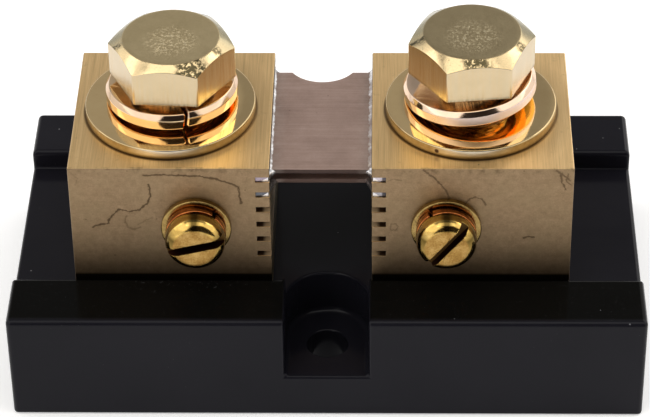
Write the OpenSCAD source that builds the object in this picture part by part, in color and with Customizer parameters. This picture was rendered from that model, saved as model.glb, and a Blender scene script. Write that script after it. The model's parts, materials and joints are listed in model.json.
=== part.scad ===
// Battery monitor shunt: two solid terminal blocks joined by resistance plates
// on a moulded insulating base. Origin: centre of the base's underside.
// +X runs from the left terminal to the right one, +Y to the rear, +Z up.

/* [Base] */
// Length of the base along X
base_l = 90; // [86:1:110]
// Depth of the base along Y
base_w = 50; // [48:1:60]
// Height of the front and rear ledges
base_h = 17; // [16:0.5:22]
// Depth along Y of each raised ledge
ledge_w = 10; // [9:0.25:10]
// Height of the channel floor that carries the blocks
floor_z = 14; // [13:0.5:15]
// Radius on the moulded outer edges
edge_r = 0.8; // [0.3:0.1:1.2]

/* [Mounting recesses] */
// Width of each U-shaped mounting recess
recess_w = 12; // [10:0.5:14]
// Height of the recess floor above the underside
recess_z = 7; // [5:0.5:9]
// Distance from the middle to the centre of the front recess's round end
recess_y = 16; // [15:0.5:18]
// Distance from the middle to the centre of the rear recess's round end
recess_y_rear = 18; // [16:0.5:18]
// Fillet between the recess wall and its floor
recess_r = 1; // [0.4:0.1:1.5]
// Diameter of the mounting holes
mount_d = 5.8; // [4.5:0.1:6.5]
// Distance between the two mounting holes
mount_pitch = 35; // [33:0.5:37]

/* [Terminal blocks] */
// Length of each block along X
block_l = 28.1; // [26:0.1:29]
// Depth of each block along Y
block_w = 28.3; // [26:0.1:29]
// Height of each block
block_h = 22; // [20:0.5:26]
// Clear distance between the two blocks
block_gap = 14.2; // [12:0.1:18]
// Shift along X of the terminal assembly, from the play in the base screws
assembly_dx = -0.75; // [-1:0.05:1]
// Shift along Y of the terminal assembly
assembly_dy = -0.25; // [-0.4:0.05:0.4]
// Offset to the rear of the main bolts' axes from the blocks' middle
bolt_dy = 1.25; // [0:0.05:1.3]

/* [Plate slots] */
// Number of saw slots in each block's inner face
slot_n = 6; // [2:1:6]
// Height of each slot
slot_h = 0.9; // [0.8:0.05:1.2]
// Depth of each slot
slot_d = 2; // [1.5:0.1:3]
// Distance between slots
slot_pitch = 2.6; // [2.2:0.1:2.8]
// Distance of the first slot's middle below the block's top
slot_top = 2; // [1.5:0.1:3]

/* [Resistance plates] */
// Thickness of each resistance plate
plate_t = 0.7; // [0.5:0.05:0.75]
// Front edge of the upper plate
plate_front_upper = -12.4; // [-13.5:0.1:-9]
// Front edge of the lower plate
plate_front_lower = -11.1; // [-13.5:0.1:-9]
// Rear edge of both plates
plate_rear = 11.2; // [8:0.1:12.5]
// Radius of the round calibration notch in the rear edge
notch_r = 5.2; // [3:0.1:6]
// Depth of the calibration notch
notch_d = 2.4; // [0:0.1:2.8]

/* [Main terminal bolts] */
// Width across flats of the hexagon head
hex_af = 15.7; // [15:0.1:17]
// Height of the hexagon head
hex_k = 6.4; // [6:0.1:7]
// Diameter of the rounded-off hexagon corners
hex_corner_d = 17.96; // [17.4:0.02:19]
// Thread diameter of the main bolts
bolt_d = 10; // [8:0.5:10]
// Thread length under the head
bolt_len = 20; // [16:0.5:21]
// Turn of the left head about its axis
bolt_turn_left = -3.5; // [-30:0.5:30]
// Turn of the right head about its axis
bolt_turn_right = 6.5; // [-30:0.5:30]
// Stack height under the left head
stack_left = 5.2; // [5.2:0.05:6.5]
// Stack height under the right head
stack_right = 6.1; // [6.1:0.05:7.5]

/* [Main washers] */
// Outer diameter of the flat washers
washer_od = 24.2; // [22:0.1:25]
// Bore of the flat washers
washer_id = 13; // [12.9:0.1:14]
// Thickness of the flat washers
washer_t = 1.5; // [1:0.1:1.5]
// Outer diameter of the spring washers
spring_od = 18.8; // [17.5:0.1:19.2]
// Bore of the spring washers
spring_id = 11; // [10.9:0.1:12]
// Thickness of the spring washers
spring_t = 2.25; // [1.8:0.05:2.3]

/* [Sense terminals] */
// Height of the sense screws' axis above the underside
sense_z = 26; // [24:0.25:28]
// Distance of each sense screw from the middle of the assembly
sense_x = 17.55; // [16:0.05:22]
// Thread diameter of the sense screws
sense_d = 5; // [4:0.5:5]
// Thread length of the sense screws under the head
sense_len = 8; // [7:0.5:8]
// Head diameter of the sense screws
sense_head_d = 8.4; // [8:0.1:9]
// Head height of the sense screws
sense_head_k = 2.85; // [2.8:0.05:3.6]
// Radius of the domed edge of the sense screws' heads
sense_dome = 1.6; // [0.6:0.1:1.8]
// Slot direction of the left screw
sense_slot_left = 14; // [0:1:180]
// Slot direction of the right screw
sense_slot_right = 52; // [0:1:180]

/* [Base screws] */
// Thread diameter of the screws that hold the blocks to the base
foot_d = 4; // [3:0.5:4]
// Distance between the two screws of one block
foot_pitch = 19; // [16:0.5:20]
// Depth of the counterbores in the underside
foot_bore = 8; // [7:0.25:8]

/* [Hidden] */
$fn = 96;
eps = 0.01;
fit = 0.05;                                   // radial play of a thread in its hole
ledge_y = base_w / 2 - ledge_w;               // inner face of a ledge
block_z = floor_z + block_h;                  // top of the blocks
inner_l = assembly_dx - block_gap / 2;        // inner face of the left block
inner_r = assembly_dx + block_gap / 2;        // inner face of the right block
main_l = inner_l - block_l / 2;               // axis of the left main bolt
main_r = inner_r + block_l / 2;               // axis of the right main bolt
bolt_y = assembly_dy + bolt_dy;               // Y of both main bolts
block_y0 = assembly_dy - block_w / 2;         // front face of the blocks
block_y1 = assembly_dy + block_w / 2;         // rear face of the blocks
tap_z = block_z - 16;                         // bottom of the main thread
gold = [0.83, 0.72, 0.45];
brass = [0.68, 0.58, 0.38];
rose = [0.86, 0.62, 0.42];
solder_grey = [0.78, 0.78, 0.78];
plate_brown = [0.56, 0.46, 0.41];
black = [0.07, 0.07, 0.08];

// ---------- shared shapes ----------

// Rectangle whose two upper corners are round
module top_round(x0, x1, z1, r) {
    translate([x0, 0]) square([x1 - x0, z1 - r]);
    translate([x0 + r, 0]) square([x1 - x0 - 2 * r, z1]);
    for (x = [x0 + r, x1 - r]) translate([x, z1 - r]) circle(r);
}

// Rectangle with four round corners, centred on the origin
module plan_round(lx, ly, r) {
    square([lx - 2 * r, ly], center = true);
    square([lx, ly - 2 * r], center = true);
    for (x = [-1, 1], y = [-1, 1]) translate([x * (lx / 2 - r), y * (ly / 2 - r)]) circle(r);
}

// Turned ring with lightly broken edges, standing on z = 0
module ring(ri, ro, t, c) {
    rotate_extrude() polygon([[ri + c, 0], [ro - c, 0], [ro, c], [ro, t - c],
                              [ro - c, t], [ri + c, t], [ri, t - c], [ri, c]]);
}

// Section of a spring washer, as radius and height; b is extra bevel on the upper outer edge, d how far the top is dished
function wire(ri, ro, t, c, b, d) = [[ri + c, -t / 2], [ro - c, -t / 2], [ro, c - t / 2], [ro, t / 2 - c - b],
                                     [ro - c - 0.6 * b, t / 2], [ri + c, t / 2 - d], [ri, t / 2 - c - d], [ri, c - t / 2]];

// Split spring washer centred on z = 0; it climbs by rise from the start of the gap round to its end
module split_washer(ri, ro, t, c, split_at, gap, rise, n, b, d) {
    w = wire(ri, ro, t, c, b, d);
    m = len(w);
    pts = [for (i = [0 : n]) let (f = i / n, a = split_at + gap / 2 + (360 - gap) * f)
           for (p = w) [p[0] * cos(a), p[0] * sin(a), p[1] + rise * (f - 0.5)]];
    sides = [for (i = [0 : n - 1], j = [0 : m - 1]) let (k = (j + 1) % m)
             [i * m + j, i * m + k, (i + 1) * m + k, (i + 1) * m + j]];
    start_cap = [for (j = [m - 1 : -1 : 0]) j];
    end_cap = [for (j = [0 : m - 1]) n * m + j];
    polyhedron(pts, concat(sides, [start_cap], [end_cap]), convexity = 6);
}

// Bottom corners of a recess rounded by r, drawn as width w and height h
module trough(w, h, r) {
    translate([-w / 2, r]) square([w, h - r]);
    translate([-w / 2 + r, 0]) square([w - 2 * r, h]);
    for (x = [-1, 1]) translate([x * (w / 2 - r), r]) circle(r);
}

// ---------- base ----------

module recess_cut(yc) {
    h = base_h - recess_z + 1;
    // straight part, open through the ledge's face
    translate([0, -yc, recess_z]) rotate([90, 0, 0])
        linear_extrude(base_w / 2 - yc + 1) trough(recess_w, h, recess_r);
    // round inner end
    translate([0, -yc, recess_z]) rotate_extrude()
        intersection() {
            trough(recess_w, h, recess_r);
            square([recess_w, h + 1]);
        }
}

module foot_holes(x) {
    for (s = [-1, 1]) translate([x, assembly_dy + s * foot_pitch / 2, 0]) {
        translate([0, 0, -1]) cylinder(r = foot_d + 0.2, h = foot_bore + 1);
        translate([0, 0, -1]) cylinder(d = foot_d + 0.6, h = floor_z + 2);
    }
}

module base() {
    color(black)
    difference() {
        intersection() {
            // plan outline
            linear_extrude(base_h + 1) plan_round(base_l, base_w, edge_r);
            // cross-section along the length
            rotate([90, 0, 90]) translate([0, 0, -base_l / 2 - 1]) linear_extrude(base_l + 2)
                union() {
                    top_round(-base_w / 2, -ledge_y, base_h, edge_r);
                    top_round(ledge_y, base_w / 2, base_h, edge_r);
                    translate([-ledge_y - 1, 0]) square([2 * ledge_y + 2, floor_z]);
                }
            // rounded upper edges of the two ends
            union() {
                for (y = [-base_w / 2 - 1, ledge_y]) translate([0, y + ledge_w + 1, 0]) rotate([90, 0, 0])
                    linear_extrude(ledge_w + 1) top_round(-base_l / 2, base_l / 2, base_h, edge_r);
                translate([0, ledge_y + eps, 0]) rotate([90, 0, 0])
                    linear_extrude(2 * ledge_y + 2 * eps) top_round(-base_l / 2, base_l / 2, floor_z, edge_r / 2);
            }
        }
        recess_cut(recess_y);
        mirror([0, 1, 0]) recess_cut(recess_y_rear);
        for (s = [-1, 1]) translate([0, s * mount_pitch / 2, -1]) cylinder(d = mount_d, h = base_h + 2);
        foot_holes(main_l);
        foot_holes(main_r);
    }
}

// ---------- terminal blocks ----------

// Block whose inner, slotted face is at x = 0 and whose body lies along +X
module block_shape(sx) {
    difference() {
        translate([0, block_y0, floor_z]) cube([block_l, block_w, block_h]);
        for (i = [0 : slot_n - 1])
            translate([-1, block_y0 - 1, block_z - slot_top - i * slot_pitch - slot_h / 2])
                cube([slot_d + 1, block_w + 2, slot_h]);
        // main thread with its drill point and a lead-in
        translate([block_l / 2, bolt_y, 0]) {
            translate([0, 0, tap_z]) cylinder(d = bolt_d, h = block_z - tap_z + 1);
            translate([0, 0, tap_z - 2.6]) cylinder(r1 = 0.4, r2 = bolt_d / 2, h = 2.6 + eps);
            translate([0, 0, block_z - 0.4]) cylinder(r1 = bolt_d / 2, r2 = bolt_d / 2 + 0.5, h = 0.5);
        }
        // sense thread
        translate([sx, block_y0, sense_z]) rotate([-90, 0, 0]) {
            translate([0, 0, -1]) cylinder(d = sense_d, h = 9);
            translate([0, 0, 8 - eps]) cylinder(r1 = sense_d / 2, r2 = 0.3, h = 1.2);
        }
        // threads for the screws from below
        for (s = [-1, 1]) translate([block_l / 2, assembly_dy + s * foot_pitch / 2, floor_z - 1])
            cylinder(d = foot_d, h = 7.5);
    }
}

module block_left() { color(brass) translate([inner_l, 0, 0]) mirror([1, 0, 0]) block_shape(sense_x - block_gap / 2); }
module block_right() { color(brass) translate([inner_r, 0, 0]) block_shape(sense_x - block_gap / 2); }

// ---------- resistance plates and their solder ----------

function slot_z(i) = block_z - slot_top - i * slot_pitch;

module plate_shape(i, front) {
    difference() {
        translate([inner_l - slot_d + 0.1, front, slot_z(i) - plate_t / 2])
            cube([block_gap + 2 * slot_d - 0.2, plate_rear - front, plate_t]);
        translate([assembly_dx - 0.15, plate_rear + notch_r - notch_d, slot_z(i) - plate_t])
            cylinder(r = notch_r, h = 2 * plate_t);
    }
}

module shunt_plate_upper() { color(plate_brown) plate_shape(0, plate_front_upper); }
module shunt_plate_lower() { color(plate_brown) plate_shape(1, plate_front_lower); }

// Solder round one plate end: fill of the slot, fillets over the joint and a web at each corner.
// Drawn for a block on the -X side whose inner face is at x = 0.
module solder_shape(i, front, leg) {
    z = slot_z(i);
    difference() {
        union() {
            translate([-slot_d, front, z - slot_h / 2]) cube([slot_d, plate_rear - front, slot_h]);
            // fillets above and below the plate
            translate([0, plate_rear, z]) rotate([90, 0, 0]) linear_extrude(plate_rear - front)
                polygon([[0, -plate_t / 2 - 0.3], [0, plate_t / 2 + leg], [0.12, plate_t / 2 + leg * 0.8],
                         [leg, plate_t / 2 + 0.08], [leg, 0], [0.3, -plate_t / 2]]);
            // webs in the corners between plate and block
            translate([0, 0, z - slot_h / 2]) linear_extrude(slot_h) {
                polygon([[-slot_d, front], [-slot_d, block_y0 + 0.25], [-0.25, block_y0 + 0.25], [0.9, front], [0.9, front + eps]]);
                polygon([[-slot_d, plate_rear], [-slot_d, plate_rear + 1.6], [-0.25, plate_rear + 1.4], [0.9, plate_rear]]);
            }
        }
        translate([0.1 - slot_d, front, z - plate_t / 2]) cube([20, plate_rear - front, plate_t]);
    }
}

module solder_left_upper() { color(solder_grey) translate([inner_l, 0, 0]) solder_shape(0, plate_front_upper, 0.35); }
module solder_left_lower() { color(solder_grey) translate([inner_l, 0, 0]) solder_shape(1, plate_front_lower, 0.35); }
module solder_right_upper() { color(solder_grey) translate([inner_r, 0, 0]) mirror([1, 0, 0]) solder_shape(0, plate_front_upper, 0.7); }
module solder_right_lower() { color(solder_grey) translate([inner_r, 0, 0]) mirror([1, 0, 0]) solder_shape(1, plate_front_lower, 0.5); }

// ---------- main bolts and washers ----------

module hex_bolt(turn) {
    // head, underside at z = 0, with a chamfered crown
    rotate([0, 0, turn]) intersection() {
        cylinder(d = hex_af / cos(30), h = hex_k, $fn = 6);
        rotate_extrude() polygon([[0, 0], [hex_corner_d / 2 - 0.3, 0], [hex_corner_d / 2, 0.3],
                                  [hex_corner_d / 2, hex_k - 1.6], [hex_af / 2, hex_k - 0.85],
                                  [6.9, hex_k], [0, hex_k]]);
    }
    // threaded shank
    translate([0, 0, 1 - bolt_len]) cylinder(d = bolt_d - 2 * fit, h = bolt_len - 1 + eps);
    translate([0, 0, -bolt_len]) cylinder(r1 = bolt_d / 2 - 1.1, r2 = bolt_d / 2 - fit, h = 1 + eps);
}

module bolt_left() { color(gold) translate([main_l, bolt_y, block_z + stack_left]) hex_bolt(bolt_turn_left); }
module bolt_right() { color(gold) translate([main_r, bolt_y, block_z + stack_right]) hex_bolt(bolt_turn_right); }

// The flat washers have a wide bore and lie pushed to the front of the bolts
module main_flat_washer(x) { translate([x, assembly_dy + 0.05, block_z]) ring(washer_id / 2, washer_od / 2, washer_t, 0.2); }
module flat_washer_left() { color(gold) main_flat_washer(main_l - 0.4); }
module flat_washer_right() { color(gold) main_flat_washer(main_r); }

// The left spring washer leans up a little to the front and right, between washer and head
module spring_washer_left() {
    color(rose) translate([main_l - 0.2, bolt_y, block_z + washer_t + 1.58]) rotate([-1.9, -0.8, 0])
        split_washer(spring_id / 2, spring_od / 2, spring_t, 0.3, 286, 3.5, -0.25, 64, 0.42, 0.26);
}

// The right spring washer is open: its split faces the rear and it climbs to the right
module spring_washer_right() {
    color(rose) translate([main_r - 0.2, bolt_y, block_z + washer_t + 2.18]) rotate([-1.6, -5.3, 0])
        split_washer(spring_id / 2, spring_od / 2, spring_t, 0.3, 90, 7, 0.3, 64, 0.42, 0.26);
}

// ---------- sense screws and washers ----------

// Moves a shape drawn along +Z to the front face of a block, pointing to the front
module at_sense(x) { translate([x, block_y0, sense_z]) rotate([90, 0, 0]) children(); }

sense_seat = 1 + 1.5;                         // flat washer and spring washer under the head

module slotted_screw(slot_turn) {
    difference() {
        rotate_extrude() {
            square([sense_head_d / 2, sense_head_k - sense_dome]);
            square([sense_head_d / 2 - sense_dome, sense_head_k]);
            intersection() {
                translate([sense_head_d / 2 - sense_dome, sense_head_k - sense_dome]) circle(sense_dome);
                square([sense_head_d, sense_head_k + 1]);
            }
        }
        rotate([0, 0, slot_turn]) translate([-sense_head_d, -0.6, sense_head_k - 1.6]) cube([2 * sense_head_d, 1.2, 3]);
    }
    translate([0, 0, 0.6 - sense_len]) cylinder(d = sense_d - 2 * fit, h = sense_len - 0.6 + eps);
    translate([0, 0, -sense_len]) cylinder(r1 = sense_d / 2 - 0.65, r2 = sense_d / 2 - fit, h = 0.6 + eps);
}

module sense_screw_left() { color(gold) at_sense(assembly_dx - sense_x) translate([0, 0, sense_seat]) slotted_screw(sense_slot_left); }
module sense_screw_right() { color(gold) at_sense(assembly_dx + sense_x) translate([0, 0, sense_seat]) slotted_screw(sense_slot_right); }
module sense_flat_washer_left() { color(gold) at_sense(assembly_dx - sense_x) ring(2.8, 4.95, 1, 0.12); }
module sense_flat_washer_right() { color(gold) at_sense(assembly_dx + sense_x) ring(2.8, 4.95, 1, 0.12); }
module sense_spring_washer_left() {
    color(rose) at_sense(assembly_dx - sense_x) translate([0, 0, 1.76]) split_washer(2.8, 4.25, 1.2, 0.15, 50, 6, 0.25, 48, 0, 0);
}
module sense_spring_washer_right() {
    color(rose) at_sense(assembly_dx + sense_x) translate([0, 0, 1.76]) split_washer(2.8, 4.25, 1.2, 0.15, 122, 6, 0.25, 48, 0, 0);
}

// ---------- screws that hold the blocks to the base ----------

// Two cross-recess pan screws from below, heads in the counterbores
module foot_screws(x) {
    for (s = [-1, 1]) translate([x, assembly_dy + s * foot_pitch / 2, foot_bore - 1])
        difference() {
            union() {
                translate([0, 0, -2.6]) cylinder(r1 = foot_d - 1.1, r2 = foot_d - 0.3, h = 0.9);
                translate([0, 0, -1.7 - eps]) cylinder(r = foot_d - 0.3, h = 1.7 + eps);
                cylinder(d = foot_d - 2 * fit, h = 12);
            }
            for (a = [0, 90]) rotate([0, 0, a]) translate([-2, -0.4, -3]) cube([4, 0.8, 2]);
        }
}

// Spring washers under those heads
module foot_washers(x) {
    for (s = [-1, 1]) translate([x, assembly_dy + s * foot_pitch / 2, foot_bore - 1]) difference() {
        ring(foot_d / 2 + 0.15, foot_d - 0.4, 1, 0.1);
        translate([0, -0.3, -1]) cube([foot_d + 1, 0.6, 3]);
    }
}

module base_screws_left() { color("silver") foot_screws(main_l); }
module base_screws_right() { color("silver") foot_screws(main_r); }
module base_screw_washers_left() { color("silver") foot_washers(main_l); }
module base_screw_washers_right() { color("silver") foot_washers(main_r); }

base();
block_left();
block_right();
shunt_plate_upper();
shunt_plate_lower();
solder_left_upper();
solder_left_lower();
solder_right_upper();
solder_right_lower();
bolt_left();
spring_washer_left();
flat_washer_left();
bolt_right();
spring_washer_right();
flat_washer_right();
sense_screw_left();
sense_spring_washer_left();
sense_flat_washer_left();
sense_screw_right();
sense_spring_washer_right();
sense_flat_washer_right();
base_screws_left();
base_screws_right();
base_screw_washers_left();
base_screw_washers_right();
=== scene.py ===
import bpy
import bmesh
import json
import math
import numpy as np
from mathutils import Matrix, Vector


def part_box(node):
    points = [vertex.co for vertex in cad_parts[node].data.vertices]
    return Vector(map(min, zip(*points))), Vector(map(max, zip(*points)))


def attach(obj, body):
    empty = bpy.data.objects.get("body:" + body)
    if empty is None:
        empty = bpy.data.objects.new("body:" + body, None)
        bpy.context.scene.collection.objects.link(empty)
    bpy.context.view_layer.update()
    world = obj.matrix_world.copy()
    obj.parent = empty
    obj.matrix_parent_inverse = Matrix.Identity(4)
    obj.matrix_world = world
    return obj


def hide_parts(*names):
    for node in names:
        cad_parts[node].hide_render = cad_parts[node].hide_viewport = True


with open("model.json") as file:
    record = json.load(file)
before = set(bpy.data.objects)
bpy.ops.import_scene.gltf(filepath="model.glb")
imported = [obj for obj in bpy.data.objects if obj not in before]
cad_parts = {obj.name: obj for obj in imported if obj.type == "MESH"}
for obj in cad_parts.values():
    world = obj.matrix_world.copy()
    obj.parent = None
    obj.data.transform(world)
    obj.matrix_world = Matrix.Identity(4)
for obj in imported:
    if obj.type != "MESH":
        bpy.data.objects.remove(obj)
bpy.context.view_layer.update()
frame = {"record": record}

MM = 0.001
SCENE = bpy.context.scene
COLL = SCENE.collection


# ------------------------------------------------------------------ places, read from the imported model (mm)

def cad(node):
    lo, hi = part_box(node)
    return np.array(lo) * 1000.0, np.array(hi) * 1000.0


B0, B1 = cad("base")
BL0, BL1 = cad("block_left")
BR0, BR1 = cad("block_right")
WL0, WL1 = cad("flat_washer_left")
WR0, WR1 = cad("flat_washer_right")
HL0, HL1 = cad("bolt_left")
HR0, HR1 = cad("bolt_right")
BZ0, BZ1 = BL0[2], BL1[2]                 # block bottom and top
MAIN_L = 0.5 * (BL0[0] + BL1[0])          # bolt axes
MAIN_R = 0.5 * (BR0[0] + BR1[0])
AXY = 0.5 * (BL0[1] + BL1[1])
BAY = AXY + 1.25                          # the main bolts sit behind the blocks' middle
YF, YR = BL0[1], BL1[1]                   # block front and rear faces
XIL, XIR = BL1[0], BR0[0]                 # inner faces
HEAD_K = 6.4
UND_L, UND_R = HL1[2] - HEAD_K, HR1[2] - HEAD_K
WT = WL1[2]                               # top of the flat washers
SL0, SL1 = cad("sense_flat_washer_left")
SR0, SR1 = cad("sense_flat_washer_right")
SENSE_L = np.array([0.5 * (SL0[0] + SL1[0]), YF, 0.5 * (SL0[2] + SL1[2])])
SENSE_R = np.array([0.5 * (SR0[0] + SR1[0]), YF, 0.5 * (SR0[2] + SR1[2])])
SLOT_N, SLOT_H, SLOT_D, SLOT_P, SLOT_TOP = 6, 0.9, 2.0, 2.6, 2.0
RECESS_W, RECESS_Z, RECESS_Y, RECESS_YR = 12.0, 7.0, 16.0, 18.0
LEDGE = B1[2]
FLOOR = BZ0
CH_Y = 15.0


# ------------------------------------------------------------------ mesh helpers

def obj_from(name, verts, faces, unit=MM):
    me = bpy.data.meshes.new(name)
    me.from_pydata([tuple(float(c) * unit for c in v) for v in verts], [], [tuple(int(i) for i in f) for f in faces])
    me.validate(verbose=False)
    bm = bmesh.new()
    bm.from_mesh(me)
    bmesh.ops.recalc_face_normals(bm, faces=bm.faces)
    bm.to_mesh(me)
    bm.free()
    ob = bpy.data.objects.new(name, me)
    COLL.objects.link(ob)
    return ob


def bake(ob):
    """Turns an object's modifiers into its mesh."""
    bpy.context.view_layer.update()
    dg = bpy.context.evaluated_depsgraph_get()
    me = bpy.data.meshes.new_from_object(ob.evaluated_get(dg), preserve_all_data_layers=True, depsgraph=dg)
    ob.modifiers.clear()
    old = ob.data
    ob.data = me
    me.name = ob.name
    if old.users == 0:
        bpy.data.meshes.remove(old)
    return ob


def smooth(ob, deg=32.0):
    me = ob.data
    me.polygons.foreach_set("use_smooth", [True] * len(me.polygons))
    me.set_sharp_from_angle(angle=math.radians(deg))
    me.update()
    return ob


def weighted(ob, w=60):
    m = ob.modifiers.new("normals", "WEIGHTED_NORMAL")
    m.keep_sharp = True
    m.weight = w
    return ob


def boolean(ob, cutters, op="DIFFERENCE"):
    for c in cutters:
        m = ob.modifiers.new("cut", "BOOLEAN")
        m.operation = op
        m.solver = "EXACT"
        m.object = c
        bake(ob)
        me = c.data
        bpy.data.objects.remove(c)
        bpy.data.meshes.remove(me)
    bm = bmesh.new()
    bm.from_mesh(ob.data)
    bmesh.ops.remove_doubles(bm, verts=bm.verts, dist=1e-7)
    bmesh.ops.dissolve_degenerate(bm, dist=1e-7, edges=bm.edges)
    bm.to_mesh(ob.data)
    bm.free()
    return ob


def bevel_by(ob, rule, width, segments=4, clamp=False, min_angle=20.0, profile=0.5):
    """Bevels the edges for which rule(midpoint mm, direction, face normals) gives a share of width (mm)."""
    bm = bmesh.new()
    bm.from_mesh(ob.data)
    lay = bm.edges.layers.float.get("bevel_weight_edge") or bm.edges.layers.float.new("bevel_weight_edge")
    lim = math.radians(min_angle)
    for e in bm.edges:
        e[lay] = 0.0
        if len(e.link_faces) != 2 or e.calc_face_angle(0.0) < lim:
            continue
        a, b = e.verts[0].co / MM, e.verts[1].co / MM
        w = rule((a + b) * 0.5, (b - a).normalized(), [f.normal for f in e.link_faces], e)
        e[lay] = max(0.0, min(1.0, w / width)) if w else 0.0
    bm.to_mesh(ob.data)
    bm.free()
    m = ob.modifiers.new("bevel", "BEVEL")
    m.limit_method = "WEIGHT"
    m.width = width * MM
    m.segments = segments
    m.profile = profile
    m.use_clamp_overlap = clamp
    m.miter_outer = "MITER_SHARP"
    m.harden_normals = False
    bake(ob)
    return ob


def box_obj(name, lo, hi):
    x0, y0, z0 = lo
    x1, y1, z1 = hi
    v = [(x0, y0, z0), (x1, y0, z0), (x1, y1, z0), (x0, y1, z0), (x0, y0, z1), (x1, y0, z1), (x1, y1, z1), (x0, y1, z1)]
    f = [(0, 3, 2, 1), (4, 5, 6, 7), (0, 1, 5, 4), (1, 2, 6, 5), (2, 3, 7, 6), (3, 0, 4, 7)]
    return obj_from(name, v, f)


def prism(name, pts, z0, z1, frm=None):
    """Extrudes a plan outline from z0 to z1; frm maps (u, v, w) to a point."""
    frm = frm or (lambda u, v, w: (u, v, w))
    n = len(pts)
    v = [frm(p[0], p[1], z0) for p in pts] + [frm(p[0], p[1], z1) for p in pts]
    f = [tuple(range(n - 1, -1, -1)), tuple(range(n, 2 * n))]
    f += [(i, (i + 1) % n, n + (i + 1) % n, n + i) for i in range(n)]
    return obj_from(name, v, f)


def cyl(name, x, y, r, z0, z1, n=72, r1=None):
    r1 = r if r1 is None else r1
    a = [2 * math.pi * (i + 0.5) / n for i in range(n)]
    v = [(x + r * math.cos(t), y + r * math.sin(t), z0) for t in a] + [(x + r1 * math.cos(t), y + r1 * math.sin(t), z1) for t in a]
    f = [tuple(range(n - 1, -1, -1)), tuple(range(n, 2 * n))]
    f += [(i, (i + 1) % n, n + (i + 1) % n, n + i) for i in range(n)]
    return obj_from(name, v, f)


def soften(pts, radii, seg, closed=False):
    """Replaces each corner of a polyline with an arc of that radius, always with seg + 1 points."""
    out = []
    n = len(pts)
    for i in range(n):
        p = np.array(pts[i], float)
        r = radii[i]
        if r <= 0 or (not closed and i in (0, n - 1)):
            out.append(p)
            continue
        a = np.array(pts[i - 1], float) - p
        b = np.array(pts[(i + 1) % n], float) - p
        la, lb = np.linalg.norm(a), np.linalg.norm(b)
        a, b = a / la, b / lb
        cosw = float(np.clip(np.dot(a, b), -1, 1))
        w = math.acos(cosw)
        d = min(r / math.tan(w / 2), 0.49 * la, 0.49 * lb)
        rr = d * math.tan(w / 2)
        bis = (a + b) / np.linalg.norm(a + b)
        c = p + bis * (rr / math.sin(w / 2))
        v0, v1 = p + a * d - c, p + b * d - c
        a0, a1 = math.atan2(v0[1], v0[0]), math.atan2(v1[1], v1[0])
        da = (a1 - a0 + math.pi) % (2 * math.pi) - math.pi
        for k in range(seg + 1):
            t = a0 + da * k / seg
            out.append(c + rr * np.array([math.cos(t), math.sin(t)]))
    return out


def polar(name, thetas, prof, ring=False):
    """Turned solid whose profile may change with the angle. prof(theta) gives (r, z) points from the axis to the axis,
    or a closed loop for a ring."""
    rows = [prof(t) for t in thetas]
    n, m = len(thetas), len(rows[0])
    v, f = [], []
    if ring:
        for t, row in zip(thetas, rows):
            v += [(r * math.cos(t), r * math.sin(t), z) for r, z in row]
        for i in range(n):
            j = (i + 1) % n
            for k in range(m):
                l = (k + 1) % m
                f.append((i * m + k, j * m + k, j * m + l, i * m + l))
        return obj_from(name, v, f)
    v.append((0, 0, rows[0][0][1]))
    v.append((0, 0, rows[0][-1][1]))
    k0 = 2
    q = m - 2
    for t, row in zip(thetas, rows):
        v += [(r * math.cos(t), r * math.sin(t), z) for r, z in row[1:-1]]
    for i in range(n):
        j = (i + 1) % n
        f.append((0, k0 + j * q, k0 + i * q))
        f.append((1, k0 + i * q + q - 1, k0 + j * q + q - 1))
        for k in range(q - 1):
            f.append((k0 + i * q + k, k0 + j * q + k, k0 + j * q + k + 1, k0 + i * q + k + 1))
    return obj_from(name, v, f)


def turn(n, off=0.0):
    return [2 * math.pi * (i + off) / n for i in range(n)]


def place(ob, m):
    ob.data.transform(m)
    ob.data.update()
    return ob


def at(x, y, z, rx=0.0, ry=0.0, rz=0.0):
    """Turns about X, then Y, then Z (degrees), then moves to x, y, z in mm."""
    r = Matrix.Rotation(math.radians(rz), 4, "Z") @ Matrix.Rotation(math.radians(ry), 4, "Y") @ Matrix.Rotation(math.radians(rx), 4, "X")
    return Matrix.Translation((x * MM, y * MM, z * MM)) @ r


def join(name, obs):
    bm = bmesh.new()
    for o in obs:
        bm.from_mesh(o.data)
    me = bpy.data.meshes.new(name)
    bm.to_mesh(me)
    bm.free()
    for o in obs:
        old = o.data
        bpy.data.objects.remove(o)
        bpy.data.meshes.remove(old)
    ob = bpy.data.objects.new(name, me)
    COLL.objects.link(ob)
    return ob


def lump(p, seed, scale):
    """Smooth repeatable noise between -1 and 1."""
    x, y, z = p[0] * scale + seed * 1.7, p[1] * scale - seed * 2.3, p[2] * scale + seed * 0.9
    return (math.sin(1.7 * x + 0.6 * math.sin(2.3 * y)) + math.sin(2.1 * y + 0.8 * math.sin(1.9 * z + x)) + math.sin(2.7 * z + 0.7 * math.sin(2.9 * x))) / 3


# ------------------------------------------------------------------ threads

def thread_radius(frac, r_out, depth, lead=0.0):
    """Radius of a 60 degree thread at a share of its pitch."""
    f = frac % 1.0
    crest, root = 0.14, 0.22
    flank = (1 - crest - root) / 2
    if f < crest / 2 or f > 1 - crest / 2:
        return r_out
    g = f if f < 0.5 else 1 - f
    g -= crest / 2
    if g < flank:
        return r_out - depth * g / flank
    return r_out - depth


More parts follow.
